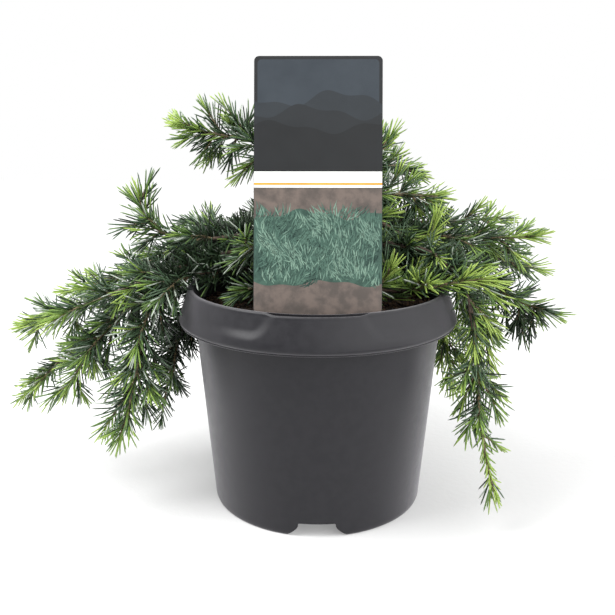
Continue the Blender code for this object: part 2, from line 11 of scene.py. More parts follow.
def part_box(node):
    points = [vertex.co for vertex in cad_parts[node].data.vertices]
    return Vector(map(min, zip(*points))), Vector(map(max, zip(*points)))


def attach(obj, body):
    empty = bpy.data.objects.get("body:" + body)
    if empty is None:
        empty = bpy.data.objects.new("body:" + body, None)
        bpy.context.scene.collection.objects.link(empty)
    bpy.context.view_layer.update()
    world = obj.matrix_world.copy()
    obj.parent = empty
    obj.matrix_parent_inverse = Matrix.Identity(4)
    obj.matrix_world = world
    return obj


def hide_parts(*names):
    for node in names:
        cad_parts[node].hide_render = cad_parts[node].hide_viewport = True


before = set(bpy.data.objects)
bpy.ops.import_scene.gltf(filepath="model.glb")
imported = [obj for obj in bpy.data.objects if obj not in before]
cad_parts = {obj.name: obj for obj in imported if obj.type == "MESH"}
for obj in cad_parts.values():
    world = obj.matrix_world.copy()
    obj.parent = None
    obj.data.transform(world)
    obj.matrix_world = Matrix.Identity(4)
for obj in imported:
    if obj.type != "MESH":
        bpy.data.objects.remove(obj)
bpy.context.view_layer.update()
bpy.ops.object.select_all(action="DESELECT")

# Nursery pot: thin grey polypropylene, injection moulded in one piece. The wall folds over at the rim
# into a skirt, whose front stands out as a pocket, and the foot is notched and drilled for drainage.
POT_SIDES = 360
POT_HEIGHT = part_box("pot")[1].z
RIM_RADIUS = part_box("pot")[1].x
RIM_TOP_RADIUS = 0.0885
RIM_ROUND = 0.0015
INNER_RADII = (0.0709, 0.0846)
FLOOR = 0.0022
PAD_RADII = (0.0360, 0.0385)
CHANNEL_RADII = (0.0400, 0.0405)
FOOT_HEIGHT = 0.0085
FOOT_RADII = (0.0693, 0.0700)
BASE_RADIUS = 0.0718
HEEL_RADIUS = 0.0733
HEEL_HEIGHT = 0.0045
NECK_RADIUS = 0.0838
SKIRT_BOTTOM = 0.1270
SKIRT_ROUND = 0.0026
SKIRT_INNER_RADIUS = 0.0925
BEAD_ROUND = 0.0005
FOLD_TOP = 0.1465
FOLD_RADII = (0.0860, 0.0872)
SLOT_RADIUS = 0.0866
SLOT_DEPTH = 0.0080
POCKET_DEPTH = 0.0018
POCKET_EDGE = math.radians(18.5)
LIP_DROP = 0.0009
LEDGE_HEIGHT = 0.1372
LEDGE_CORNER = 0.0125
LEDGE_SLOPE = 0.0032
RIM_SLOPE = 0.0048
LIP_ROUND = 0.0085
BAND_FADE = (0.0120, 0.0520)


def smooth_step(low, high, value):
    """Return 0 below low, 1 above high and an eased share between them."""
    share = np.clip((value - low) / (high - low), 0.0, 1.0)
    return share * share * (3.0 - 2.0 * share)


def arc(centre, radius, start, end, steps):
    """Return the points of an arc whose angles are in degrees."""
    turns = [math.radians(start + (end - start) * step / steps) for step in range(steps + 1)]
    return [(centre[0] + radius * math.cos(turn), centre[1] + radius * math.sin(turn)) for turn in turns]


def even_run(start, end, steps):
    """Return evenly spaced points from start to end."""
    shares = [step / steps for step in range(steps + 1)]
    return [tuple(a + (b - a) * share for a, b in zip(start, end)) for share in shares]


def read_places(mesh):
    """Return the points of a mesh as rows."""
    places = np.empty(len(mesh.vertices) * 3)
    mesh.vertices.foreach_get("co", places)
    return places.reshape(-1, 3)


def write_places(mesh, places):
    """Move the points of a mesh to these rows."""
    mesh.vertices.foreach_set("co", np.asarray(places, dtype=float).ravel())
    mesh.update()


def turn_rings(name, profile, sides):
    """Extrude a ring of points along a profile of radius and height, and close both of its poles."""
    radius, height = profile[0]
    bpy.ops.mesh.primitive_circle_add(
        vertices=sides, radius=radius, fill_type="TRIFAN", location=(0.0, 0.0, height)
    )
    piece = bpy.context.object
    piece.name = name
    bpy.ops.object.mode_set(mode="EDIT")
    bpy.ops.mesh.select_mode(type="EDGE")
    bpy.ops.mesh.select_all(action="DESELECT")
    bpy.ops.mesh.select_non_manifold()
    for (near, low), (radius, height) in zip(profile, profile[1:]):
        bpy.ops.mesh.extrude_edges_move(TRANSFORM_OT_translate={"value": (0.0, 0.0, height - low)})
        growth = radius / near
        bpy.ops.transform.resize(value=(growth, growth, 1.0), center_override=(0.0, 0.0, height))
    bpy.ops.mesh.edge_face_add()
    bpy.ops.mesh.poke()
    bpy.ops.mesh.select_all(action="SELECT")
    bpy.ops.mesh.normals_make_consistent(inside=False)
    bpy.ops.object.mode_set(mode="OBJECT")
    bpy.ops.object.transform_apply(location=True, rotation=True, scale=True)
    return piece


def pot_profile():
    """Return the pot's section, up its inside, over the rim and down its outside."""
    channel_top = FOOT_HEIGHT + FLOOR
    rim_low = POT_HEIGHT - RIM_ROUND
    bead_top = SKIRT_BOTTOM + 2 * BEAD_ROUND
    skirt_middle = (RIM_RADIUS - SKIRT_ROUND, bead_top + SKIRT_ROUND * math.sin(math.radians(60)))
    bead_middle = (RIM_RADIUS - SKIRT_ROUND / 2, bead_top - BEAD_ROUND)
    profile = [(PAD_RADII[0], FLOOR), (CHANNEL_RADII[0], channel_top), (INNER_RADII[0], channel_top)]
    profile += arc((INNER_RADII[1] + RIM_ROUND, rim_low), RIM_ROUND, 180, 90, 4)
    profile += [(SLOT_RADIUS + side, POT_HEIGHT) for side in (-0.00025, -0.0001, 0.0001, 0.00025)]
    profile += arc((RIM_TOP_RADIUS - RIM_ROUND, rim_low), RIM_ROUND, 90, 15, 4)
    profile += even_run((RIM_TOP_RADIUS, rim_low), (RIM_RADIUS, skirt_middle[1]), 22)[:-1]
    profile += arc(skirt_middle, SKIRT_ROUND, 0, -60, 5)
    profile += arc(bead_middle, BEAD_ROUND, 90, -90, 6)[1:]
    profile += [(SKIRT_INNER_RADIUS, SKIRT_BOTTOM + BEAD_ROUND), (FOLD_RADII[1], FOLD_TOP)]
    profile += [(FOLD_RADII[0], FOLD_TOP)]
    profile += even_run((NECK_RADIUS, SKIRT_BOTTOM), (HEEL_RADIUS, HEEL_HEIGHT), 16)
    for turn in (0.35, 0.70, 1.05, 1.57):
        round_out = (HEEL_RADIUS - BASE_RADIUS) * math.cos(turn)
        profile.append((BASE_RADIUS + round_out, HEEL_HEIGHT * (1.0 - math.sin(turn))))
    profile += [(FOOT_RADII[1], 0.0), (FOOT_RADII[0], FOOT_HEIGHT)]
    profile += [(CHANNEL_RADII[1], FOOT_HEIGHT), (PAD_RADII[1], 0.0)]
    return profile


def mould_pocket(mesh):
    """Push the front of the skirt out as a pocket that runs on to both sides as a fading lower band."""
    places = read_places(mesh)
    radius = np.hypot(places[:, 0], places[:, 1])
    height = places[:, 2].copy()
    beside = RIM_RADIUS * (np.abs(np.arctan2(places[:, 0], -places[:, 1])) - POCKET_EDGE)
    above = height - LEDGE_HEIGHT
    corner = LEDGE_CORNER - np.hypot(LEDGE_CORNER - beside, LEDGE_CORNER - above)
    inside = np.where((beside < LEDGE_CORNER) & (above < LEDGE_CORNER), corner, np.minimum(beside, above))
    panel = smooth_step(-LEDGE_SLOPE, LEDGE_SLOPE, inside)
    pocket = 1.0 - smooth_step(-LEDGE_SLOPE, LEDGE_SLOPE, beside)
    rim_pocket = 1.0 - smooth_step(-RIM_SLOPE, RIM_SLOPE, beside)
    lip = np.clip((SKIRT_BOTTOM + LIP_ROUND - height) / LIP_ROUND, 0.0, 1.0)
    band = (1.0 - panel) * (1.0 - smooth_step(*BAND_FADE, beside))
    rim_low = POT_HEIGHT - RIM_ROUND
    slope = (RIM_RADIUS - RIM_TOP_RADIUS) / (rim_low - SKIRT_BOTTOM - SKIRT_ROUND)
    face = radius > RIM_TOP_RADIUS + slope * (rim_low - height) - 0.0012
    face |= (height < SKIRT_BOTTOM + 2 * SKIRT_ROUND) & (radius > RIM_RADIUS - SKIRT_ROUND)
    skirt = (height > SKIRT_BOTTOM - 0.0001) & (radius > SLOT_RADIUS)
    out = np.where(face & (height < rim_low), band * (1.0 - 0.9 * lip * lip), rim_pocket)
    out = np.where(skirt, POCKET_DEPTH * out, 0.0)
    slot = (height > rim_low) & (np.abs(radius - SLOT_RADIUS) < 0.00015)
    down = np.where(skirt & ~slot, LIP_DROP * rim_pocket * smooth_step(LEDGE_HEIGHT, POT_HEIGHT, height), 0.0)
    down += np.where(slot, SLOT_DEPTH * pocket, 0.0)
    places[:, :2] *= (1.0 + out / radius.clip(0.001))[:, None]
    places[:, 2] -= down
    write_places(mesh, places)


def select_points(piece, chosen):
    """Select, in edit mode, the points for which chosen is true, with the edges and faces between them."""
    bpy.ops.mesh.select_mode(type="VERT")
    bpy.ops.mesh.select_all(action="DESELECT")
    cage = bmesh.from_edit_mesh(piece.data)
    for corner in cage.verts:
        corner.select_set(chosen(corner.co))
    cage.select_flush(True)
    bmesh.update_edit_mesh(piece.data)


def join_pieces(name, pieces):
    """Join finished pieces into one."""
    bpy.ops.object.select_all(action="DESELECT")
    for piece in pieces:
        piece.select_set(True)
    bpy.context.view_layer.objects.active = pieces[0]
    if len(pieces) > 1:
        bpy.ops.object.join()
    pieces[0].name = name
    return pieces[0]


def cut_away(piece, cutter):
    """Cut a piece with a cutter, and remove the cutter."""
    bpy.ops.object.select_all(action="DESELECT")
    piece.select_set(True)
    bpy.context.view_layer.objects.active = piece
    cut = piece.modifiers.new("cut", "BOOLEAN")
    cut.operation = "DIFFERENCE"
    cut.solver = "EXACT"
    cut.object = cutter
    bpy.ops.object.modifier_apply(modifier=cut.name)
    bpy.data.objects.remove(cutter)


NOTCH_COUNT = 3
NOTCH_REACH = (0.064, 0.080)
NOTCH_HEIGHT = 0.0096
NOTCH_TOP_WIDTH = 0.0242
NOTCH_FOOT_WIDTH = 0.0400
NOTCH_CORNER = 0.0010
HOLE_COUNT = 6
HOLE_PLACE = 0.055
HOLE_RADIUS = 0.005


def notch_cutter(heading):
    """Model the wedge that opens one notch, with small top corners and sides that flare to the ground."""
    middle = (sum(NOTCH_REACH) / 2, 0.0, NOTCH_HEIGHT - 0.001)
    bpy.ops.mesh.primitive_cube_add(size=1.0, location=middle)
    cutter = bpy.context.object
    bpy.ops.transform.resize(value=(NOTCH_REACH[1] - NOTCH_REACH[0], NOTCH_TOP_WIDTH, 0.002))
    bpy.ops.object.transform_apply(location=True, rotation=True, scale=True)
    bpy.ops.object.mode_set(mode="EDIT")
    select_points(cutter, lambda place: place.z < middle[2])
    height, width = NOTCH_HEIGHT - 0.002, NOTCH_TOP_WIDTH
    for step in range(1, 7):
        share = step / 6
        lower = (NOTCH_HEIGHT - 0.002) * (1.0 - share)
        wider = NOTCH_TOP_WIDTH + (NOTCH_FOOT_WIDTH - NOTCH_TOP_WIDTH) * share**1.5
        bpy.ops.mesh.extrude_region_move(TRANSFORM_OT_translate={"value": (0.0, 0.0, lower - height)})
        bpy.ops.transform.resize(value=(1.0, wider / width, 1.0), center_override=(middle[0], 0.0, lower))
        height, width = lower, wider
    bpy.ops.mesh.extrude_region_move(TRANSFORM_OT_translate={"value": (0.0, 0.0, -0.004)})
    for side in (-1.0, 1.0):
        select_points(cutter, lambda place: place.z > NOTCH_HEIGHT - 0.0001 and place.y * side > 0.005)
        bpy.ops.mesh.bevel(offset=NOTCH_CORNER, segments=4, affect="EDGES")
    bpy.ops.mesh.select_all(action="SELECT")
    bpy.ops.mesh.normals_make_consistent(inside=False)
    bpy.ops.object.mode_set(mode="OBJECT")
    cutter.rotation_euler.z = heading
    bpy.ops.object.transform_apply(location=True, rotation=True, scale=True)
    return cutter


def hole_cutter(heading):
    """Model the drum that drills one drain hole."""
    place = (HOLE_PLACE * math.cos(heading), HOLE_PLACE * math.sin(heading), FOOT_HEIGHT + FLOOR / 2)
    bpy.ops.mesh.primitive_cylinder_add(vertices=32, radius=HOLE_RADIUS, depth=3 * FLOOR, location=place)
    bpy.ops.object.transform_apply(location=True, rotation=True, scale=True)
    return bpy.context.object


pot = turn_rings("pot_shell", pot_profile(), POT_SIDES)
mould_pocket(pot.data)
cutters = [notch_cutter(math.radians(270 + 360 * number / NOTCH_COUNT)) for number in range(NOTCH_COUNT)]
cutters += [hole_cutter(math.radians(360 * number / HOLE_COUNT)) for number in range(HOLE_COUNT)]
cut_away(pot, join_pieces("pot_cutters", cutters))
bpy.ops.object.shade_smooth_by_angle(angle=math.radians(38))

# The grain is shared by every finish here: a soft noise on the piece's own place, cut to a mask
grain = bpy.data.node_groups.new("grain", "ShaderNodeTree")
for socket_name, socket_value in (("Scale", 100.0), ("Detail", 4.0), ("Low", 0.35), ("High", 0.65)):
    socket = grain.interface.new_socket(name=socket_name, in_out="INPUT", socket_type="NodeSocketFloat")
    socket.default_value = socket_value
grain.interface.new_socket(name="Mask", in_out="OUTPUT", socket_type="NodeSocketFloat")


def add_node(tree, kind, values=None, **settings):
    """Add a shader node, set its own settings and then its inputs by name or number."""
    node = tree.nodes.new("ShaderNode" + kind)
    for name, value in settings.items():
        setattr(node, name, value)
    for name, value in (values or {}).items():
        node.inputs[name].default_value = value
    return node


grain_in = grain.nodes.new("NodeGroupInput")
grain_out = grain.nodes.new("NodeGroupOutput")
grain_place = add_node(grain, "TexCoord")
grain_noise = add_node(grain, "TexNoise", {"Roughness": 0.6})
grain_range = add_node(grain, "MapRange", interpolation_type="SMOOTHSTEP")
grain.links.new(grain_place.outputs["Object"], grain_noise.inputs["Vector"])
grain.links.new(grain_in.outputs["Scale"], grain_noise.inputs["Scale"])
grain.links.new(grain_in.outputs["Detail"], grain_noise.inputs["Detail"])
grain.links.new(grain_noise.outputs["Fac"], grain_range.inputs["Value"])
grain.links.new(grain_in.outputs["Low"], grain_range.inputs["From Min"])
grain.links.new(grain_in.outputs["High"], grain_range.inputs["From Max"])
grain.links.new(grain_range.outputs["Result"], grain_out.inputs["Mask"])


def add_grain(tree, scale, detail=4.0, low=0.35, high=0.65):
    """Add the shared grain to a material and return its mask."""
    node = add_node(tree, "Group", node_tree=grain)
    for name, value in (("Scale", scale), ("Detail", detail), ("Low", low), ("High", high)):
        node.inputs[name].default_value = value
    return node.outputs["Mask"]


def mix_colours(tree, mask, first, second):
    """Mix two colours, or a colour and a node's output, by a mask."""
    node = add_node(tree, "Mix", data_type="RGBA")
    tree.links.new(mask, node.inputs[0])
    for socket, colour in ((node.inputs[6], first), (node.inputs[7], second)):
        if isinstance(colour, tuple):
            socket.default_value = (*colour, 1.0)
        else:
            tree.links.new(colour, socket)
    return node.outputs[2]


def new_finish(name, dark, light, scale, rough, relief, relief_scale, gloss=0.5):
    """Return a finish: two near colours, a roughness that varies with them, a gloss and a fine relief."""
    material = bpy.data.materials.new(name)
    material.use_nodes = True
    tree = material.node_tree
    shader = tree.nodes["Principled BSDF"]
    shader.inputs["Specular IOR Level"].default_value = gloss
    mask = add_grain(tree, scale)
    colour = mix_colours(tree, mask, dark, light)
    tree.links.new(colour, shader.inputs["Base Color"])
    polish = add_node(tree, "MapRange", {"To Min": rough[0], "To Max": rough[1]})
    tree.links.new(mask, polish.inputs["Value"])
    tree.links.new(polish.outputs["Result"], shader.inputs["Roughness"])
    bump = add_node(tree, "Bump", {"Distance": relief})
    tree.links.new(add_grain(tree, relief_scale, 3.0, 0.2, 0.8), bump.inputs["Height"])
    tree.links.new(bump.outputs["Normal"], shader.inputs["Normal"])
    return material


def settle(piece, material, nodes=()):
    """Give a finished piece its material and body, and hide the CAD nodes that it stands for."""
    piece.data.materials.clear()
    piece.data.materials.append(material)
    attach(piece, "root")
    if nodes:
        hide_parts(*nodes)
    bpy.ops.object.select_all(action="DESELECT")


# Satin moulded plastic: a very fine sparkle of grain, cloudy in tone, with a painted sheen that makes it
# paler where it is seen at a slant, and a little dust where it lies level
pot_finish = new_finish(
    "pot_plastic", (0.0120, 0.0117, 0.0143), (0.0148, 0.0145, 0.0174), 160.0, (0.40, 0.47), 0.00002, 2600.0
)
pot_tree = pot_finish.node_tree
pot_shader = pot_tree.nodes["Principled BSDF"]
pot_shader.inputs["Specular IOR Level"].default_value = 0.26
level_sense = add_node(pot_tree, "NewGeometry")
level_split = add_node(pot_tree, "SeparateXYZ")
level_range = add_node(pot_tree, "MapRange", {"From Min": 0.55, "From Max": 1.0, "To Max": 0.35})
dust = add_node(pot_tree, "Math", operation="MULTIPLY")
pot_tree.links.new(level_sense.outputs["Normal"], level_split.inputs["Vector"])
pot_tree.links.new(level_split.outputs["Z"], level_range.inputs["Value"])
pot_tree.links.new(level_range.outputs["Result"], dust.inputs[0])
pot_tree.links.new(add_grain(pot_tree, 420.0, 5.0, 0.3, 0.7), dust.inputs[1])
# Painted sheen: the colour is mixed towards a pale grey where the surface is seen at a slant
slant = add_node(pot_tree, "LayerWeight", {"Blend": 0.5})
painted_sheen = add_node(pot_tree, "Math", {1: 3.2}, operation="POWER")
pot_tree.links.new(slant.outputs["Facing"], painted_sheen.inputs[0])
plain_plastic = pot_shader.inputs["Base Color"].links[0].from_socket
painted_sheen_colour = mix_colours(pot_tree, painted_sheen.outputs["Value"], plain_plastic, (0.280, 0.272, 0.292))
dusted = mix_colours(pot_tree, dust.outputs["Value"], painted_sheen_colour, (0.10, 0.095, 0.095))
pot_tree.links.new(dusted, pot_shader.inputs["Base Color"])
settle(pot, pot_finish, ["pot"])

# Compost: peat and fine bark, filled by hand to a finger below the rim and pressed round the stem.
# It is a turned body with an uneven top, and loose crumbs and chips of bark that lie on it.
SOIL_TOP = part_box("soil")[1].z
SOIL_SIDES = 120
SOIL_RINGS = 34
SOIL_GAP = 0.0003
SOIL_RELIEF = 0.0022
CRUMB_COUNT = 1500
CRUMB_SIZES = (0.0006, 0.0021)
CHIP_SHARE = 0.22
CHIP_STRETCH = (2.4, 1.3, 0.4)


def inner_radius(height):
    """Return the radius of the pot's inside at a height."""
    share = (height - FOOT_HEIGHT - FLOOR) / (POT_HEIGHT - RIM_ROUND - FOOT_HEIGHT - FLOOR)
    return INNER_RADII[0] + (INNER_RADII[1] - INNER_RADII[0]) * share


def soil_height(across, back):
    """Return how far the compost's top stands above its level there, lower beside the wall."""
    place = Vector((across, back, 0.0))
    coarse = noise.fractal(place * 45.0, 1.0, 2.0, 3)
    fine = noise.fractal(place * 260.0 + Vector((7.0, 3.0, 0.0)), 1.0, 2.0, 4)
    sunk = 0.6 * float(smooth_step(0.060, 0.084, math.hypot(across, back)))
    return SOIL_RELIEF * (0.6 * coarse + 0.45 * fine - sunk)


channel_top = FOOT_HEIGHT + FLOOR + SOIL_GAP
soil_edge = inner_radius(SOIL_TOP) - 2 * SOIL_GAP
soil_profile = [(PAD_RADII[0] - SOIL_GAP, FLOOR + SOIL_GAP), (CHANNEL_RADII[0] - SOIL_GAP, channel_top)]
soil_profile += [(inner_radius(channel_top) - 2 * SOIL_GAP, channel_top), (soil_edge, SOIL_TOP - 0.004)]
soil_profile += even_run((soil_edge, SOIL_TOP), (0.0015, SOIL_TOP), SOIL_RINGS)
compost = turn_rings("compost", soil_profile, SOIL_SIDES)
soil_places = read_places(compost.data)
for row in soil_places:
    if row[2] > SOIL_TOP - 0.001:
        row[2] += soil_height(row[0], row[1])
write_places(compost.data, soil_places)
compost.data.shade_smooth()


def ball_shape():
    """Return the points and triangles of a twenty-sided ball."""
    bpy.ops.mesh.primitive_ico_sphere_add(subdivisions=1, radius=1.0)
    ball = bpy.context.object
    corners = read_places(ball.data)
    triangles = np.array([list(face.vertices) for face in ball.data.polygons])
    bpy.data.objects.remove(ball)
    return corners, triangles


def array_piece(name, places, triangles):
    """Return a piece made from arrays of points and triangles, shaded smooth."""
    mesh = bpy.data.meshes.new(name)
    mesh.vertices.add(len(places))
    mesh.vertices.foreach_set("co", np.asarray(places, dtype=float).ravel())
    mesh.loops.add(triangles.size)
    mesh.loops.foreach_set("vertex_index", triangles.astype(np.int32).ravel())
    mesh.polygons.add(len(triangles))
    mesh.polygons.foreach_set("loop_start", np.arange(0, triangles.size, 3, dtype=np.int32))
    mesh.update(calc_edges=True)
    mesh.shade_smooth()
    piece = bpy.data.objects.new(name, mesh)
    bpy.context.scene.collection.objects.link(piece)
    return piece


def turned_axes(chance):
    """Return three axes at right angles in a random turn."""
    axes = np.linalg.qr(chance.normal(size=(3, 3)))[0]
    return axes if np.linalg.det(axes) > 0 else -axes


ball_corners, ball_triangles = ball_shape()
crumb_chance = np.random.default_rng(11)
crumb_places = []
for number in range(CRUMB_COUNT):
    away = (soil_edge - 0.003) * math.sqrt(crumb_chance.uniform(0.02, 1.0))
    heading = crumb_chance.uniform(0.0, 2 * math.pi)
    across, back = away * math.cos(heading), away * math.sin(heading)
    size = crumb_chance.uniform(*CRUMB_SIZES)
    stretch_by = np.ones(3)
    if crumb_chance.random() < CHIP_SHARE:
        stretch_by = np.array(CHIP_STRETCH)
    shape = ball_corners * crumb_chance.uniform(0.7, 1.3, (len(ball_corners), 1)) * stretch_by
    shape = (shape @ turned_axes(crumb_chance).T) * size * np.array((1.0, 1.0, 0.8))
    crumb_places.append(shape + (across, back, SOIL_TOP + soil_height(across, back) + 0.3 * size))
crumb_starts = np.arange(CRUMB_COUNT)[:, None, None] * len(ball_corners)
crumbs = array_piece(
    "compost_crumbs", np.concatenate(crumb_places), (ball_triangles[None] + crumb_starts).reshape(-1, 3)
)
compost_finish = new_finish(
    "compost", (0.006, 0.004, 0.003), (0.040, 0.024, 0.014), 300.0, (0.9, 1.0), 0.0006, 900.0
)
crumb_finish = new_finish(
    "compost_crumbs", (0.012, 0.007, 0.004), (0.105, 0.060, 0.032), 130.0, (0.85, 1.0), 0.0003, 1500.0
)
settle(compost, compost_finish, ["soil"])
settle(crumbs, crumb_finish)

# Trunk: one young stem that leans a little back, thick at its foot and cut flat where it meets the compost.
# Its bark is brown-grey and still thin, with long shallow ridges and small scars.
TRUNK_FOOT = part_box("trunk")[0].z
TRUNK_TOP = 0.2400
TRUNK_PLACE = Vector((-0.002, 0.006, 0.0))
TRUNK_LEAN = Vector((0.004, 0.006, 0.1))
TRUNK_BOW = 0.005
TRUNK_RADII = (0.0072, 0.0031)
FLARE = 0.0035
FLARE_HEIGHT = 0.006
TRUNK_SIDES = 40
TRUNK_RINGS = 90
BARK_RIDGE = 0.00045
BARK_SCAR = 0.0003


def trunk_centre(height):
    """Return the trunk's centre at a height above the ground."""
    share = (height - TRUNK_FOOT) / TRUNK_LEAN.z
    across = TRUNK_PLACE.x + TRUNK_LEAN.x * share
    back = TRUNK_PLACE.y + TRUNK_LEAN.y * share + TRUNK_BOW * share * share
    return Vector((across, back, height))


def trunk_radius(height):
    """Return the trunk's radius: an even taper, with a flare at its foot."""
    share = (height - TRUNK_FOOT) / (TRUNK_TOP - TRUNK_FOOT)
    taper = TRUNK_RADII[0] + (TRUNK_RADII[1] - TRUNK_RADII[0]) * share
    return taper + FLARE * math.exp(-max(height - TRUNK_FOOT, 0.0) / FLARE_HEIGHT)


def bark_relief(turn, along, seed):
    """Return how far the bark stands out there, for a turn round the limb and a distance along it."""
    round_place = Vector((math.cos(turn), math.sin(turn), 0.0))
    ridges = noise.noise(round_place * 2.6 + Vector((seed, seed, along * 55.0)))
    scars = noise.noise(round_place * 4.5 + Vector((-seed, seed, along * 420.0)))
    return BARK_RIDGE * ridges + BARK_SCAR * max(scars, 0.0)


foot = trunk_centre(TRUNK_FOOT)
bpy.ops.mesh.primitive_circle_add(
    vertices=TRUNK_SIDES, radius=trunk_radius(TRUNK_FOOT), fill_type="NGON", location=foot
)
trunk = bpy.context.object
trunk.name = "trunk_bark"
bpy.ops.object.mode_set(mode="EDIT")
bpy.ops.mesh.select_mode(type="EDGE")
bpy.ops.mesh.select_all(action="DESELECT")
bpy.ops.mesh.select_non_manifold()
trunk_heights = [TRUNK_FOOT + (TRUNK_TOP - TRUNK_FOOT) * ring / TRUNK_RINGS for ring in range(TRUNK_RINGS + 1)]
for low, height in zip(trunk_heights, trunk_heights[1:]):
    centre = trunk_centre(height)
    bpy.ops.mesh.extrude_edges_move(TRANSFORM_OT_translate={"value": centre - trunk_centre(low)})
    growth = trunk_radius(height) / trunk_radius(low)
    bpy.ops.transform.resize(value=(growth, growth, 1.0), center_override=centre)
bpy.ops.mesh.edge_face_add()
bpy.ops.mesh.select_all(action="SELECT")
bpy.ops.mesh.normals_make_consistent(inside=False)
bpy.ops.object.mode_set(mode="OBJECT")
bpy.ops.object.transform_apply(location=True, rotation=True, scale=True)
trunk_places = read_places(trunk.data)
for row in trunk_places:
    centre = trunk_centre(row[2])
    away = Vector((row[0] - centre.x, row[1] - centre.y, 0.0))
    out = away.normalized() * bark_relief(math.atan2(away.y, away.x), row[2], 3.0)
    row[0] += out.x
    row[1] += out.y
write_places(trunk.data, trunk_places)
bpy.ops.object.shade_smooth_by_angle(angle=math.radians(50))
bark_finish = new_finish(
    "bark", (0.026, 0.018, 0.013), (0.105, 0.072, 0.050), 260.0, (0.75, 0.95), 0.0003, 900.0
)
settle(trunk, bark_finish, ["trunk"])

# Boughs: the limbs that leave the trunk, brown wood at the root and orange young wood further out. Each
# follows the same curve as its solid. Heights and reach in metres, heading and sweep in degrees.
Bough = namedtuple("Bough", "name habit root heading reach tip crest hang sweep spread roll")
HABITS = {
    "leading": (0.20, 0.60),
    "upright": (0.60, 1.00),
    "spreading": (0.46, 0.88),
    "arching": (0.60, 0.88),
    "weeping": (1.16, 0.82),
    "sweeping": (1.05, 0.70),
}
BOUGHS = (
    Bough("leader", "leading", 0.240, 76, 0.010, 0.272, 0.252, -0.008, 0, 1.0, 0),
    Bough("left_high", "spreading", 0.226, 165, 0.113, 0.262, 0.256, -0.016, -18, 1.0, 65),
    Bough("left_back", "spreading", 0.200, 142, 0.131, 0.186, 0.160, -0.006, 0, 1.0, 35),
    Bough("left_upright", "upright", 0.193, 192, 0.120, 0.221, 0.180, -0.054, -8, 0.7, 50),
    Bough("left_middle", "spreading", 0.186, 167, 0.206, 0.135, 0.192, -0.014, -8, 1.0, 0),
    Bough("left_long", "spreading", 0.179, 184, 0.210, 0.121, 0.182, -0.006, 12, 1.0, 0),
    Bough("left_far", "spreading", 0.172, 177, 0.227, 0.054, 0.194, 0.018, -18, 0.9, 0),
    Bough("left_fall", "arching", 0.165, 189, 0.178, 0.071, 0.188, 0.042, -18, 0.9, 0),
    Bough("left_weep", "sweeping", 0.158, 202, 0.144, 0.045, 0.172, 0.099, -12, 0.7, 0),
    Bough("left_inner", "weeping", 0.151, 169, 0.121, 0.031, 0.191, 0.112, -44, 0.7, 0),
    Bough("right_high", "spreading", 0.236, 19, 0.057, 0.253, 0.236, -0.018, -4, 0.8, 60),
    Bough("right_crest", "spreading", 0.221, 30, 0.091, 0.218, 0.230, 0.014, -2, 0.9, 30),
    Bough("right_upper", "spreading", 0.214, 10, 0.094, 0.210, 0.214, -0.006, 0, 0.9, 0),
    Bough("right_upright", "upright", 0.207, 348, 0.080, 0.205, 0.203, -0.054, 4, 0.6, 60),
    Bough("right_spread", "spreading", 0.200, 25, 0.173, 0.184, 0.178, 0.008, -2, 0.9, 0),
    Bough("right_reach", "spreading", 0.193, 0, 0.159, 0.182, 0.176, 0.000, 10, 0.9, 0),
    Bough("right_lower", "spreading", 0.186, 16, 0.184, 0.147, 0.174, 0.008, 12, 0.9, 0),
    Bough("right_far", "spreading", 0.179, 356, 0.173, 0.129, 0.175, -0.003, 8, 0.8, 0),
    Bough("right_front", "spreading", 0.165, 332, 0.132, 0.158, 0.127, 0.022, -9, 0.8, 0),
    Bough("right_weep", "sweeping", 0.172, 326, 0.141, 0.021, 0.209, 0.086, 16, 0.45, 0),
    Bough("right_fall", "arching", 0.158, 0, 0.126, 0.081, 0.198, 0.092, 26, 0.55, 0),
    Bough("right_inner", "weeping", 0.151, 25, 0.121, 0.047, 0.175, 0.107, 23, 0.6, 0),
    Bough("back_left", "spreading", 0.214, 128, 0.150, 0.112, 0.200, 0.050, 0, 1.0, 0),
    Bough("back_mid_left", "spreading", 0.202, 104, 0.168, 0.060, 0.216, 0.090, 0, 1.0, 0),
    Bough("back_mid_right", "spreading", 0.190, 76, 0.160, 0.084, 0.204, 0.070, 0, 1.0, 0),
    Bough("back_right", "spreading", 0.178, 50, 0.150, 0.096, 0.196, 0.050, 4, 1.0, 0),
    Bough("front_left", "spreading", 0.184, 226, 0.072, 0.186, 0.190, -0.010, 0, 1.0, 0),
    Bough("front_right", "spreading", 0.172, 316, 0.068, 0.178, 0.156, -0.042, -30, 1.0, 0),
    Bough("low_left", "spreading", 0.146, 224, 0.070, 0.155, 0.152, 0.000, 0, 1.0, 0),
    Bough("low_right", "spreading", 0.146, 286, 0.058, 0.153, 0.152, -0.002, 0, 1.0, 0),
    Bough("low_back", "spreading", 0.147, 88, 0.070, 0.156, 0.157, -0.002, 0, 1.0, 0),
)
LINE_STEPS = 80
BARE_SHARE = 0.20
WOOD_RADII = (0.0024, 0.0019)
STEM_RADII = (0.0018, 0.0007)
TIP_RADIUS = 0.0003
COLLAR_RADIUS = 0.0010
COLLAR_REACH = 0.006
STEM_SHORT = 0.010
OLD_WOOD_SHARE = 0.45
BOUGH_SIDES = 12
BOUGH_RING = 0.0013
BOUGH_RELIEF = 0.45


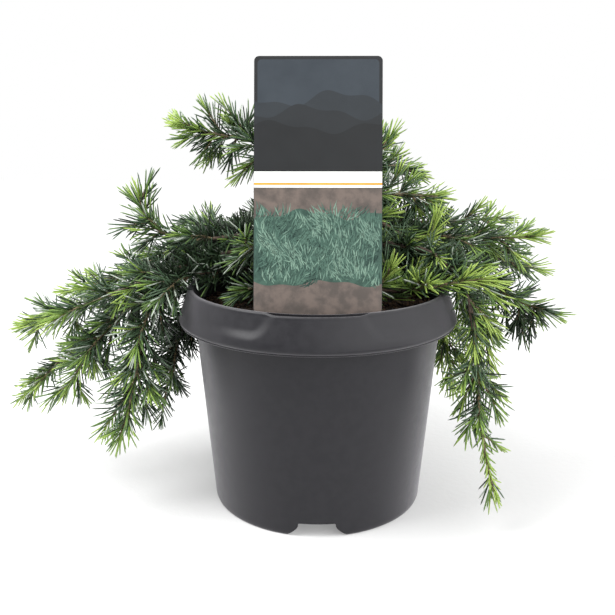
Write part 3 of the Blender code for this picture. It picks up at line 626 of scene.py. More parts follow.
def bough_line(bough):
    """Return closely spaced points on a bough's curve, from the trunk's axis to its furthest tip."""
    bend, lead = HABITS[bough.habit]
    root = trunk_centre(bough.root)
    heading = math.radians(bough.heading)
    swept = math.radians(bough.heading + bough.sweep)
    way = Vector((math.cos(heading), math.sin(heading), 0.0)) * bough.reach
    bent = Vector((math.cos(swept), math.sin(swept), 0.0)) * bough.reach * bend
    below = Vector((root.x, root.y, 0.0))
    knots = (
        root,
        below + bent + Vector((0.0, 0.0, bough.crest)),
        below + way * lead + Vector((0.0, 0.0, bough.tip + bough.hang)),
        below + way + Vector((0.0, 0.0, bough.tip)),
    )
    shares = np.linspace(0.0, 1.0, LINE_STEPS + 1)[:, None]
    line = np.zeros((LINE_STEPS + 1, 3))
    for order, (weight, knot) in enumerate(zip((1, 3, 3, 1), knots)):
        line += weight * shares**order * (1.0 - shares) ** (3 - order) * np.array(knot)
    return line


def distances(line):
    """Return each point's distance along a line of points."""
    steps = np.linalg.norm(np.diff(line, axis=0), axis=1)
    return np.concatenate(([0.0], np.cumsum(steps)))


def places_along(line, wanted):
    """Return the points at these distances along a line."""
    run = distances(line)
    return np.stack([np.interp(wanted, run, line[:, axis]) for axis in range(3)], axis=1)


def ways_along(line, wanted):
    """Return the line's direction at these distances."""
    run = distances(line)
    piece = np.clip(np.searchsorted(run, wanted, side="left") - 1, 0, len(line) - 2)
    steps = line[piece + 1] - line[piece]
    return steps / np.linalg.norm(steps, axis=1)[:, None]


def cross_axes(ways):
    """Return two directions at right angles to each way, which turn smoothly along a limb."""
    guide = np.array((0.31, 0.17, 0.94))
    first = np.cross(ways, guide)
    first /= np.linalg.norm(first, axis=1)[:, None]
    return first, np.cross(ways, first)


class Cloud:
    """Points and triangles that are gathered from many small shapes and become one piece."""

    def __init__(self):
        self.places = []
        self.triangles = []
        self.count = 0

    def add(self, places, triangles):
        """Add the points and triangles of one more shape."""
        self.places.append(places)
        self.triangles.append(triangles + self.count)
        self.count += len(places)

    def add_limb(self, line, radii, sides, relief=None):
        """Add a closed limb through the points, with a radius at each and an optional bark relief."""
        steps = np.gradient(line, axis=0)
        ways = steps / np.linalg.norm(steps, axis=1)[:, None]
        first, second = cross_axes(ways)
        turns = np.arange(sides) * 2 * math.pi / sides
        widths = np.repeat(np.asarray(radii)[:, None], sides, axis=1)
        if relief is not None:
            widths = widths + relief(turns, distances(line))
        ring = first[:, None] * np.cos(turns)[None, :, None] + second[:, None] * np.sin(turns)[None, :, None]
        sleeve = (line[:, None] + ring * widths[:, :, None]).reshape(-1, 3)
        places = np.concatenate((sleeve, line[:1], line[-1:]))
        here = np.arange(sides)
        after = (here + 1) % sides
        rows = np.arange(len(line) - 1)[:, None] * sides
        corners = (rows + here, rows + after, rows + sides + after, rows + sides + here)
        quads = np.stack(corners, axis=2).reshape(-1, 4)
        last = (len(line) - 1) * sides
        low_cap = np.stack((np.full(sides, len(sleeve)), after, here), axis=1)
        high_cap = np.stack((np.full(sides, len(sleeve) + 1), last + here, last + after), axis=1)
        self.add(places, np.concatenate((quads[:, [0, 1, 2]], quads[:, [0, 2, 3]], low_cap, high_cap)))

    def piece(self, name):
        """Return all that was gathered as one piece."""
        return array_piece(name, np.concatenate(self.places), np.concatenate(self.triangles))


DIRECT = (
    "leader",
    "right_high",
    "right_upright",
    "front_left",
    "front_right",
    "low_left",
    "low_right",
    "low_back",
)


def limb_radius(bough, length, away):
    """Return a limb's radius at distances from the trunk's axis: bare wood, then stem, then a thin tip."""
    bare = 0.0 if bough.name in DIRECT else BARE_SHARE * length
    wood = WOOD_RADII[0] + (WOOD_RADII[1] - WOOD_RADII[0]) * away / max(bare, 0.001)
    stem = STEM_RADII[0] + (STEM_RADII[1] - STEM_RADII[0]) * (away - bare) / (length - bare)
    radius = np.where(away < bare, wood, stem)
    radius = radius + COLLAR_RADIUS * np.exp(-(away / COLLAR_REACH) ** 2)
    return np.minimum(radius, TIP_RADIUS + (length - away) * 0.2)


def limb_relief(seed):
    """Return the relief that a bough's bark has, finer than the trunk's."""

    def relief(turns, run):
        return np.array([[BOUGH_RELIEF * bark_relief(turn, away, seed) for turn in turns] for away in run])

    return relief


lines = {bough.name: bough_line(bough) for bough in BOUGHS}
old_wood = Cloud()
young_wood = Cloud()
for number, bough in enumerate(BOUGHS):
    line = lines[bough.name]
    length = distances(line)[-1]
    old_end = (BARE_SHARE + OLD_WOOD_SHARE * (1.0 - BARE_SHARE)) * length
    away = np.linspace(0.0, old_end, max(8, round(old_end / BOUGH_RING)))
    old_wood.add_limb(places_along(line, away), limb_radius(bough, length, away), BOUGH_SIDES, limb_relief(number))
    away = np.linspace(old_end - 0.002, length - STEM_SHORT, max(6, round((length - old_end) / 0.003)))
    young_wood.add_limb(places_along(line, away), limb_radius(bough, length, away), 8)
boughs = old_wood.piece("boughs")
settle(boughs, bark_finish.copy(), ["bough_" + name for name in lines if name not in DIRECT])

# Foliage: young shoots on both sides of each bough, finer ones on those, and needles all along. A shoot
# keeps to the space that is nearer to its own bough's curve, so the masses stay apart as on the plant.
STEM_STEP = 0.015
STEM_COLLAR = 0.002
STEM_LEAST = 4
SHOOT_SPACING = 0.026
SHOOT_ZONE = (0.10, 0.72)
SHOOT_JITTER = 0.6
SHOOT_REACH = (0.009, 0.31)
SHOOT_FALL_OFF = 0.7
SHOOT_LIFT = (-50, 35)
SHOOT_LEAST = 0.014
SHOOT_STEP = 0.004
SHOOT_ANGLE = math.radians(50)
SHOOT_DROOP = 12.0
SHOOT_RADII = (0.0010, 0.0005)
CELL_MARGIN = 0.002
LIMB_MARGIN = 0.0045
CLEARANCE = 0.002
CARD_WIDTH = 0.0766
CARD_LEAN = math.radians(13.6)
CARD_BEND = Vector((0.0, -0.0740, 0.1430))

line_places = np.concatenate([lines[bough.name] for bough in BOUGHS])
line_owners = np.concatenate([np.full(LINE_STEPS + 1, number) for number in range(len(BOUGHS))])


def clear_of_pieces(points, margin):
    """Tell which points keep clear of the trunk, the pot, the compost, the ground and the card."""
    height = points[:, 2]
    share = (height - TRUNK_FOOT) / TRUNK_LEAN.z
    across = points[:, 0] - TRUNK_PLACE.x - TRUNK_LEAN.x * share
    back = points[:, 1] - TRUNK_PLACE.y - TRUNK_LEAN.y * share - TRUNK_BOW * share * share
    taper = (height - TRUNK_FOOT) / (TRUNK_TOP - TRUNK_FOOT)
    stem = TRUNK_RADII[0] + (TRUNK_RADII[1] - TRUNK_RADII[0]) * taper
    clear = (height > TRUNK_TOP + margin) | (np.hypot(across, back) > stem + margin)
    radius = np.hypot(points[:, 0], points[:, 1])
    above = height > POT_HEIGHT + margin
    within = (height > SOIL_TOP + margin) & (radius < INNER_RADII[1] - margin - 0.0016)
    under = (height < SKIRT_BOTTOM - margin) & (radius > NECK_RADIUS + margin)
    beside = radius > RIM_RADIUS + POCKET_DEPTH + margin
    clear &= above | within | ((under | beside) & (height > margin))
    lean = (points[:, 1] - CARD_BEND.y) * math.cos(CARD_LEAN) - (height - CARD_BEND.z) * math.sin(CARD_LEAN)
    clear &= (np.abs(points[:, 0]) > CARD_WIDTH / 2 + margin) | (height < SOIL_TOP) | (lean > margin)
    return clear


def keeps_space(points, owner):
    """Tell which points are in the owner's space and clear of everything else."""
    gaps = np.linalg.norm(points[:, None] - line_places[None], axis=2)
    own = gaps[:, line_owners == owner].min(axis=1)
    other = gaps[:, line_owners != owner].min(axis=1)
    return (other >= np.maximum(own + CELL_MARGIN, LIMB_MARGIN)) & clear_of_pieces(points, CLEARANCE)


def shoot_path(start, aim, reach, owner, droop):
    """Return the path of a shoot that droops as it grows and stops where its space ends."""
    path = [np.array(start)]
    way = np.array(aim) / np.linalg.norm(aim)
    for _ in range(int(reach / SHOOT_STEP)):
        path.append(path[-1] + way * SHOOT_STEP)
        way = way - np.array((0.0, 0.0, droop * SHOOT_STEP))
        way /= np.linalg.norm(way)
    path = np.array(path)
    if len(path) > 2:
        blocked = np.flatnonzero(~keeps_space(path[2:], owner))
        if len(blocked):
            path = path[: 2 + blocked[0]]
    return path


def side_shoots(bough, stem, chance):
    """Yield the start, direction and reach of each side shoot, on alternate sides of the stem."""
    length = distances(stem)[-1]
    count = max(2, round(length / SHOOT_SPACING))
    heading = math.radians(bough.heading)
    across = Vector((-math.sin(heading), math.cos(heading), 0.0))
    for number in range(count):
        share = SHOOT_ZONE[0] + SHOOT_ZONE[1] * (number + chance.uniform(0.0, SHOOT_JITTER)) / count
        wanted = np.array([share * length])
        way = Vector(ways_along(stem, wanted)[0])
        above = across.cross(way).normalized()
        if above.z < 0:
            above.negate()
        lift = math.radians(chance.uniform(*SHOOT_LIFT))
        out = across * (1 if number % 2 else -1) * math.cos(lift) + above * math.sin(lift)
        out.rotate(Quaternion(way, math.radians(bough.roll)))
        aim = way * math.cos(SHOOT_ANGLE) + out * math.sin(SHOOT_ANGLE)
        reach = SHOOT_REACH[1] * length * bough.spread * (1.0 - share) ** SHOOT_FALL_OFF
        yield places_along(stem, wanted)[0], aim, SHOOT_REACH[0] + reach, share


# Finer shoots than the solids have: small ones on every side shoot, and short ones all round the stem
TWIG_SPACING = 0.0120
TWIG_ZONE = (0.16, 0.76)
TWIG_REACH = (0.008, 0.48)
TWIG_ANGLE = math.radians(38)
TWIG_LEAST = 0.006
TWIG_RADII = (0.0007, 0.0004)
SPUR_SPACING = 0.0125
SPUR_REACH = (0.009, 0.020)
SPUR_INNER = 0.012
SPUR_ANGLE = math.radians(48)


def fine_shoots(path, spacing, zone, angle, reaches, chance):
    """Yield the start, direction and reach of finer shoots that turn round a shoot in a spiral."""
    length = distances(path)[-1]
    count = int(length * (zone[1] - zone[0]) / spacing)
    for number in range(count):
        share = zone[0] + (zone[1] - zone[0]) * (number + chance.uniform(0.1, 0.9)) / count
        wanted = np.array([share * length])
        way = ways_along(path, wanted)
        first, second = cross_axes(way)
        turn = 2.4 * number + chance.uniform(-0.5, 0.5)
        out = first[0] * math.cos(turn) + second[0] * math.sin(turn)
        aim = way[0] * math.cos(angle) + out * math.sin(angle)
        yield places_along(path, wanted)[0], aim, reaches(share, length), share


# Needles: straight, thin and pointed, in a spiral round the young shoots and in tufts on the older wood.
# Each is a three-sided blade, blue-green and yellow-green where it is new, with painted shade that makes
# it dark inside the crown.
NEEDLE_LENGTH = 0.0190
NEEDLE_WIDTH = 0.00125
NEEDLE_SPACING = 0.00082
NEEDLE_SPREAD = (32.0, 46.0)
BRUSH_LENGTH = 0.014
BRUSH_SPREAD = 13.0
GOLDEN_TURN = math.radians(137.5)
TUFT_SPACING = 0.0043
TUFT_NEEDLES = 14
TONE_STEPS = (0.14, 0.30, 0.45, 0.62, 0.82)

needle_rows = []
needle_chance = np.random.default_rng(29)


def add_needles(roots, ways, lengths, bends, fresh_and_lit):
    """Keep a row for each needle: its root, way, length, how it bends, and its tone of new growth and painted light.
    """
    needle_rows.append(np.column_stack((roots, ways, lengths, bends, fresh_and_lit)))


def clothe_shoot(path, fresh_and_lit, size=1.0, bare=0.0, taper=0.0):
    """Set needles in a spiral along a shoot, swept forward and closing to a tight brush at its tip."""
    length = distances(path)[-1]
    count = int((length - bare) / NEEDLE_SPACING)
    if count < 3:
        return
    wanted = bare + (length - bare) * (np.arange(count) + 0.5) / count
    share = wanted / length
    ways = ways_along(path, wanted)
    first, second = cross_axes(ways)
    turns = np.arange(count) * GOLDEN_TURN + needle_chance.uniform(0.0, 6.28)
    turns = turns + needle_chance.normal(0.0, 0.3, count)
    closing = np.clip((wanted - (length - BRUSH_LENGTH)) / BRUSH_LENGTH, 0.0, 1.0)
    spread = NEEDLE_SPREAD[1] + (NEEDLE_SPREAD[0] - NEEDLE_SPREAD[1]) * np.clip(1.6 * fresh_and_lit, 0.0, 1.0)
    spread = spread + (BRUSH_SPREAD - spread) * closing
    spread = np.radians(spread + needle_chance.normal(0.0, 8.0, count) * (1.0 - 0.5 * closing))
    out = first * np.cos(turns)[:, None] + second * np.sin(turns)[:, None]
    aim = ways * np.cos(spread)[:, None] + out * np.sin(spread)[:, None]
    aim[:, 2] += 0.04
    aim /= np.linalg.norm(aim, axis=1)[:, None]
    bends = out * (needle_chance.normal(0.10, 0.05, count) * (1.0 - closing))[:, None]
    lengths = NEEDLE_LENGTH * (1.0 - 0.16 * closing) * needle_chance.uniform(0.78, 1.06, count)
    lengths *= size * (1.0 - taper * share)
    # The tone rises towards the tip: new growth there, and painted shade near the shoot's base
    tone = fresh_and_lit * (0.40 + 1.15 * share) + 0.08 * closing + needle_chance.normal(0.0, 0.10, count)
    add_needles(places_along(path, wanted), aim, lengths, bends, tone)


def clothe_wood(path, start, end, fresh_and_lit):
    """Set tufts of needles on older wood between two distances, each fanned round its own short spur."""
    count = max(1, int((end - start) / TUFT_SPACING))
    for number in range(count):
        wanted = np.array([start + (end - start) * (number + needle_chance.uniform(0.0, 1.0)) / count])
        way = ways_along(path, wanted)
        first, second = cross_axes(way)
        turn = needle_chance.uniform(0.0, 6.28)
        axis = first[0] * math.cos(turn) + second[0] * math.sin(turn) + 0.35 * way[0] + np.array((0.0, 0.0, 0.45))
        axis = np.repeat(axis[None] / np.linalg.norm(axis), TUFT_NEEDLES, axis=0)
        first, second = cross_axes(axis)
        turns = np.arange(TUFT_NEEDLES) * GOLDEN_TURN
        spread = np.radians(needle_chance.uniform(8.0, 62.0, TUFT_NEEDLES))
        out = first * np.cos(turns)[:, None] + second * np.sin(turns)[:, None]
        aim = axis * np.cos(spread)[:, None] + out * np.sin(spread)[:, None]
        lengths = NEEDLE_LENGTH * needle_chance.uniform(0.72, 1.05, TUFT_NEEDLES)
        tone = fresh_and_lit + needle_chance.normal(0.0, 0.07) + needle_chance.normal(0.0, 0.06, TUFT_NEEDLES)
        roots = np.repeat(places_along(path, wanted), TUFT_NEEDLES, axis=0)
        add_needles(roots, aim, lengths, out * 0.05, tone)


# Each bough's tone of new growth and painted light: darker where it lies in shade, lighter where light falls.
FRESH_AND_LIT_USUAL = 0.34
FRESH_AND_LIT = {
    "left_high": 0.56,
    "left_back": 0.26,
    "left_upright": 0.34,
    "left_middle": 0.48,
    "left_long": 0.47,
    "left_far": 0.38,
    "left_fall": 0.32,
    "left_weep": 0.34,
    "left_inner": 0.16,
    "right_high": 0.54,
    "right_crest": 0.58,
    "right_upper": 0.56,
    "right_upright": 0.78,
    "right_spread": 0.50,
    "right_reach": 0.48,
    "right_lower": 0.36,
    "right_far": 0.30,
    "right_front": 0.76,
    "right_weep": 0.50,
    "right_fall": 0.68,
    "right_inner": 0.62,
    "front_left": 0.26,
    "front_right": 0.48,
    "low_left": 0.18,
    "low_right": 0.30,
}
FRESH_AND_LIT_GAIN = 0.26
THINNING = {
    "left_high": 0.28,
    "left_middle": 0.14,
    "left_far": 0.26,
    "left_inner": 0.20,
    "right_high": 0.40,
    "right_crest": 0.24,
    "right_spread": 0.30,
    "right_weep": 0.50,
}
# Extra sprays on a bough: the share of its length, heading and rise in degrees, reach in metres, and a tone
# of freshness with painted light and shade
SPRAYS = {
    "left_high": (
        (0.53, 0, 67, 0.018, 0.30),
        (0.56, 190, -69, 0.018, 0.26),
        (0.65, 180, 62, 0.021, 0.40),
        (0.69, 190, -54, 0.019, 0.34),
        (0.71, 180, -5, 0.022, 0.46),
    ),
    "left_upright": (
        (0.74, 180, -30, 0.018, 0.24),
        (0.81, 180, -8, 0.016, 0.24),
        (0.91, 0, 67, 0.013, 0.36),
        (0.88, 190, 50, 0.011, 0.42),
    ),
    "left_long": ((0.80, 180, -8, 0.024, 0.50), (0.90, 190, -4, 0.012, 0.52)),
    "left_far": (
        (0.33, 190, -43, 0.018, 0.14),
        (0.36, 200, -66, 0.022, 0.10),
        (0.41, 180, -78, 0.018, 0.10),
        (0.50, 300, -60, 0.036, 0.16),
    ),
    "left_fall": (
        (0.41, 190, -66, 0.018, 0.14),
        (0.49, 350, -70, 0.024, 0.12),
        (0.53, 340, -78, 0.030, 0.14),
        (0.68, 190, -66, 0.024, 0.24),
        (0.93, 190, -32, 0.017, 0.46),
    ),
    "left_weep": (
        (0.39, 190, -50, 0.016, 0.14),
        (0.41, 200, -80, 0.019, 0.10),
        (0.43, 190, -66, 0.014, 0.10),
        (0.47, 0, -70, 0.020, 0.12),
        (0.51, 340, -80, 0.024, 0.12),
        (0.60, 210, -58, 0.034, 0.22),
        (0.63, 350, -66, 0.024, 0.22),
        (0.69, 190, -43, 0.030, 0.34),
        (0.74, 0, -77, 0.031, 0.20),
        (0.80, 190, -47, 0.032, 0.46),
    ),
    "left_inner": (
        (0.61, 190, -30, 0.024, 0.10),
        (0.66, 200, -60, 0.022, 0.10),
        (0.68, 350, -55, 0.015, 0.10),
        (0.70, 180, -50, 0.022, 0.14),
        (0.72, 190, -55, 0.020, 0.12),
    ),
    "right_high": ((0.70, 0, 55, 0.012, 0.56),),
    "right_upper": ((0.50, 0, 60, 0.018, 0.50), (0.61, 190, -43, 0.014, 0.46), (0.70, 350, -60, 0.014, 0.46)),
    "right_spread": ((0.37, 0, 47, 0.016, 0.58),),
    "right_far": (
        (0.75, 350, -83, 0.028, 0.12),
        (0.80, 0, -76, 0.024, 0.12),
        (0.82, 200, -72, 0.024, 0.12),
        (0.87, 180, -82, 0.018, 0.12),
    ),
    "right_fall": ((0.46, 230, -55, 0.032, 0.72), (0.68, 340, -49, 0.024, 0.90)),
    "right_weep": (
        (0.40, 275, -45, 0.018, 0.78),
        (0.47, 350, -43, 0.026, 0.90),
        (0.49, 330, -80, 0.028, 0.88),
        (0.54, 270, -60, 0.018, 0.62),
        (0.60, 285, -70, 0.016, 0.52),
        (0.65, 190, -66, 0.024, 0.46),
        (0.66, 0, -58, 0.028, 0.42),
        (0.72, 190, -72, 0.026, 0.38),
        (0.92, 0, -85, 0.012, 0.60),
    ),
    "right_inner": ((0.68, 340, -41, 0.034, 0.80), (0.76, 230, -76, 0.022, 0.62)),
}
SPRAY_NEEDLES = 0.96


def grow_mass(bough, owner):
    """Grow a bough's mass: side shoots by the source's rule, finer shoots, and needles on all of them."""
    chance = random.Random(bough.name)
    line = lines[bough.name]
    length = distances(line)[-1]
    thinning = THINNING.get(bough.name, 0.0)
    start = 0.0 if bough.name in DIRECT else BARE_SHARE * length
    segments = max(STEM_LEAST, round((length - start) / STEM_STEP))
    stops = np.concatenate(([start], np.linspace(start + STEM_COLLAR, length, segments + 1)))
    stem = places_along(line, stops)
    shoots = list(side_shoots(bough, stem, chance))
    fresh_and_lit_root = FRESH_AND_LIT.get(bough.name, FRESH_AND_LIT_USUAL) - 0.5 * FRESH_AND_LIT_GAIN
    for root, aim, reach, share in shoots:
        path = shoot_path(root, aim, reach, owner, SHOOT_DROOP)
        if distances(path)[-1] < SHOOT_LEAST:
            continue
        fresh_and_lit = fresh_and_lit_root + FRESH_AND_LIT_GAIN * share + chance.uniform(-0.13, 0.15)
        radii = np.linspace(*SHOOT_RADII, len(path))
        young_wood.add_limb(path, radii, 6)
        clothe_shoot(path, fresh_and_lit, 1.0 - thinning * share, 0.003)

        def twig_reach(along, whole):
            return TWIG_REACH[0] + TWIG_REACH[1] * whole * (1.0 - along)

        for twig in fine_shoots(path, TWIG_SPACING, TWIG_ZONE, TWIG_ANGLE, twig_reach, chance):
            twig_path = shoot_path(*twig[:3], owner, SHOOT_DROOP)
            if distances(twig_path)[-1] < TWIG_LEAST:
                continue
            young_wood.add_limb(twig_path, np.linspace(*TWIG_RADII, len(twig_path)), 5)
            clothe_shoot(twig_path, fresh_and_lit + chance.uniform(-0.10, 0.14), 0.95 * (1.0 - thinning * share))

    def spur_reach(along, whole):
        return bough.spread * (1.0 - thinning * along) * (chance.uniform(*SPUR_REACH) + SPUR_INNER * (1.0 - along))

    for spur in fine_shoots(stem, SPUR_SPACING, (0.04, 0.92), SPUR_ANGLE, spur_reach, chance):
        spur_path = shoot_path(*spur[:3], owner, 0.0)
        if distances(spur_path)[-1] < TWIG_LEAST:
            continue
        young_wood.add_limb(spur_path, np.linspace(*TWIG_RADII, len(spur_path)), 5)
        fresh_and_lit = fresh_and_lit_root + FRESH_AND_LIT_GAIN * spur[3] + chance.uniform(-0.15, 0.15)
        clothe_shoot(spur_path, fresh_and_lit, 0.95 * (1.0 - thinning * spur[3]))
    old_end = start + OLD_WOOD_SHARE * (length - start)
    clothe_wood(line, max(0.006, 0.4 * start), old_end, fresh_and_lit_root - 0.04)
    outer = places_along(line, np.linspace(old_end, length - STEM_SHORT * (1.0 - thinning), 24))
    clothe_shoot(outer, fresh_and_lit_root + FRESH_AND_LIT_GAIN, 1.0 - 0.4 * thinning, 0.0, thinning)
    for share, heading, rise, reach, fresh_and_lit in SPRAYS.get(bough.name, ()):
        rise = math.radians(rise)
        heading = math.radians(heading)
        aim = (math.cos(heading) * math.cos(rise), math.sin(heading) * math.cos(rise), math.sin(rise))
        path = shoot_path(places_along(line, np.array([share * length]))[0], aim, reach, owner, SHOOT_DROOP)
        if distances(path)[-1] >= TWIG_LEAST:
            young_wood.add_limb(path, np.linspace(*SHOOT_RADII, len(path)), 6)
            clothe_shoot(path, fresh_and_lit, SPRAY_NEEDLES)


for owner, bough in enumerate(BOUGHS):
    grow_mass(bough, owner)
twig_finish = new_finish(
    "young_wood", (0.055, 0.042, 0.022), (0.19, 0.145, 0.075), 420.0, (0.55, 0.75), 0.00012, 1600.0
)
mass_nodes = ["foliage_" + name for name in lines]
twigs = young_wood.piece("twigs")
settle(twigs, twig_finish, mass_nodes)

NEEDLE_RINGS = ((0.0, 0.36), (0.45, 0.47), (0.88, 0.38))
NEEDLE_SIDES = 3
NEEDLE_SHAPE = [(0, 2, 1)]
for start in range(0, NEEDLE_SIDES * (len(NEEDLE_RINGS) - 1), NEEDLE_SIDES):
    for side in range(NEEDLE_SIDES):
        after = (side + 1) % NEEDLE_SIDES
        NEEDLE_SHAPE.append((start + side, start + after, start + NEEDLE_SIDES + after))
        NEEDLE_SHAPE.append((start + side, start + NEEDLE_SIDES + after, start + NEEDLE_SIDES + side))
NEEDLE_TIP = NEEDLE_SIDES * len(NEEDLE_RINGS)
NEEDLE_SHAPE += [(NEEDLE_TIP - 3 + side, NEEDLE_TIP - 3 + (side + 1) % 3, NEEDLE_TIP) for side in range(3)]
NEEDLE_SHAPE = np.array(NEEDLE_SHAPE)


def needle_places(rows):
    """Return the points of each needle: three rings of three, bent outward, and a tip."""
    roots, ways, lengths, bends = rows[:, 0:3], rows[:, 3:6], rows[:, 6:7], rows[:, 7:10]
    first, second = cross_axes(ways)
    turns = np.arange(NEEDLE_SIDES) * 2 * math.pi / NEEDLE_SIDES
    columns = []
    for along, width in NEEDLE_RINGS:
        middle = roots + (ways * along + bends * along * along) * lengths
        for turn in turns:
            around = first * math.cos(turn) + second * math.sin(turn)
            columns.append(middle + around * NEEDLE_WIDTH * width)
    columns.append(roots + (ways + bends) * lengths)
    return np.stack(columns, axis=1)


TONES = (
    ("needles_shaded", (0.008, 0.014, 0.007), (0.018, 0.031, 0.016)),
    ("needles_dark", (0.017, 0.035, 0.015), (0.034, 0.061, 0.026)),
    ("needles_blue", (0.050, 0.091, 0.050), (0.095, 0.147, 0.088)),
    ("needles_green", (0.082, 0.150, 0.042), (0.130, 0.212, 0.064)),
    ("needles_fresh", (0.165, 0.270, 0.052), (0.235, 0.355, 0.076)),
    ("needles_lime", (0.290, 0.415, 0.084), (0.375, 0.500, 0.122)),
    # The last tone is a painted highlight: near-white needles
    ("needles_silver", (0.340, 0.395, 0.325), (0.475, 0.530, 0.460)),
)
# Shares of needles painted near white as painted highlights, from the left, where the key light is, to the right
PAINTED_HIGHLIGHT_SHARES = (0.09, 0.035)
NEEDLE_GLOSS = 0.26
needles = np.concatenate(needle_rows)
tips = needles[:, 0:3] + (needles[:, 3:6] + needles[:, 7:10]) * needles[:, 6:7]
middles = needles[:, 0:3] + needles[:, 3:6] * needles[:, 6:7] * 0.6
needles = needles[clear_of_pieces(tips, 0.0008) & clear_of_pieces(middles, 0.0008)]
tone_numbers = np.searchsorted(TONE_STEPS, needles[:, 10])
painted_highlight_share = np.interp(needles[:, 0], (-0.08, 0.08), PAINTED_HIGHLIGHT_SHARES)
tone_numbers[needle_chance.random(len(needles)) < painted_highlight_share] = len(TONES) - 1
for number, (tone_name, dark, light) in enumerate(TONES):
    chosen = needles[tone_numbers == number]
    starts = np.arange(len(chosen))[:, None, None] * (NEEDLE_TIP + 1)
    piece = array_piece(tone_name, needle_places(chosen).reshape(-1, 3), (NEEDLE_SHAPE[None] + starts).reshape(-1, 3))
    finish = new_finish(tone_name, dark, light, 190.0, (0.27, 0.40), 0.00005, 2200.0, NEEDLE_GLOSS)
    settle(piece, finish, mass_nodes)
    print(tone_name, len(chosen), "needles", len(NEEDLE_SHAPE) * len(chosen), "triangles")
print("twig triangles", len(twigs.data.polygons), "bough triangles", len(boughs.data.polygons))

# Label: a stiff printed plastic card, die-cut with rounded corners and a tongue that is pushed into the
# compost, so that the card leans back on it.
CARD_LENGTH = 0.1584
CARD_THICKNESS = 0.0006
CARD_CORNER = 0.003
SHOULDER_CORNER = 0.006
SHOULDER_RISE = 0.002
TONGUE_WIDTH = 0.024
TONGUE_LENGTH = 0.038

bpy.ops.mesh.primitive_plane_add(size=1.0, rotation=(math.radians(90), 0.0, 0.0))
card = bpy.context.object
card.name = "label_card"
bpy.ops.object.transform_apply(location=True, rotation=True, scale=True)
bpy.ops.object.mode_set(mode="EDIT")
bpy.ops.mesh.select_all(action="SELECT")
bpy.ops.transform.resize(value=(CARD_WIDTH, 1.0, CARD_LENGTH - SHOULDER_RISE))
bpy.ops.transform.translate(value=(0.0, 0.0, (CARD_LENGTH + SHOULDER_RISE) / 2))
for edge in (-TONGUE_WIDTH / 2, TONGUE_WIDTH / 2):
    bpy.ops.mesh.select_all(action="SELECT")
    bpy.ops.mesh.bisect(plane_co=(edge, 0.0, 0.0), plane_no=(1.0, 0.0, 0.0))
select_points(card, lambda place: place.z < SHOULDER_RISE + 0.0001 and abs(place.x) < TONGUE_WIDTH / 2 + 0.0001)
bpy.ops.mesh.extrude_edges_move(TRANSFORM_OT_translate={"value": (0.0, 0.0, -SHOULDER_RISE)})
bpy.ops.mesh.extrude_edges_move(TRANSFORM_OT_translate={"value": (0.0, 0.0, -TONGUE_LENGTH)})
select_points(card, lambda place: place.z > CARD_LENGTH - 0.0001 and abs(place.x) > CARD_WIDTH / 2 - 0.0001)
bpy.ops.mesh.bevel(offset=CARD_CORNER, segments=8, affect="VERTICES")
select_points(card, lambda place: abs(place.z - SHOULDER_RISE) < 0.0001 and abs(place.x) > CARD_WIDTH / 2 - 0.0001)
bpy.ops.mesh.bevel(offset=SHOULDER_CORNER, segments=8, affect="VERTICES")
bpy.ops.object.mode_set(mode="OBJECT")


def lean_back(across, along, level):
    """Return the place of a point of the card, level in front of its middle plane."""
    lean = CARD_LEAN if along > 0.0 else 0.0
    back = along * math.sin(lean) - level * math.cos(lean)
    return (across, CARD_BEND.y + back, CARD_BEND.z + along * math.cos(lean) + level * math.sin(lean))


write_places(card.data, [lean_back(corner.co.x, corner.co.z, 0.0) for corner in card.data.vertices])
thickness = card.modifiers.new("thickness", "SOLIDIFY")
thickness.thickness = CARD_THICKNESS
thickness.offset = 0.0
thickness.use_even_offset = True
bpy.ops.object.modifier_apply(modifier=thickness.name)
card_finish = new_finish(
    "card_charcoal", (0.010, 0.011, 0.012), (0.013, 0.014, 0.016), 30.0, (0.42, 0.50), 0.00001, 1800.0, 0.28
)
settle(card, card_finish, ["label"])

# Print on the label: a generic design in thin layers of ink, with plain hills above a level pale band and
# tufts of blue-green strokes on warm grey below it. There is no lettering.
INK = 0.00003
PRINT_MARGIN = 0.0020
PRINT_HALF = CARD_WIDTH / 2 - 0.0002
BAND = (0.0840, 0.0895)
STRIPE = (0.0815, 0.0828)
PICTURE_TOP = 0.0800
PICTURE_FOOT = SHOULDER_RISE + 0.0002


def print_layer(name, outline, layer, colours, scale=60.0):
    """Lay one layer of ink on the card's front inside an outline that runs anticlockwise."""
    levels = (CARD_THICKNESS / 2 - INK, CARD_THICKNESS / 2 + layer * INK)
    places = [lean_back(across, along, level) for level in levels for across, along in outline]
    count = len(outline)
    front = [count + number for number in range(count)]
    back = list(reversed(range(count)))
    sides = [(n, (n + 1) % count, count + (n + 1) % count, count + n) for n in range(count)]
    mesh = bpy.data.meshes.new(name)
    mesh.from_pydata(places, [], [front, back, *sides])
    mesh.update()
    piece = bpy.data.objects.new(name, mesh)
    bpy.context.scene.collection.objects.link(piece)
    settle(piece, new_finish(name, *colours, scale, (0.42, 0.50), 0.00001, 1800.0, 0.28))
    return piece


def hill_outline(low, crest, swell, phase):
    """Return the outline of a hill range that crosses the card, with a rolling skyline."""
    skyline = []
    for across in np.linspace(PRINT_HALF, -PRINT_HALF, 60):
        roll = math.sin(across * 95.0 + phase) + 0.45 * math.sin(across * 230.0 + 2.1 * phase)
        skyline.append((across, crest + swell * roll))
    return [(-PRINT_HALF, low), (PRINT_HALF, low), *skyline]


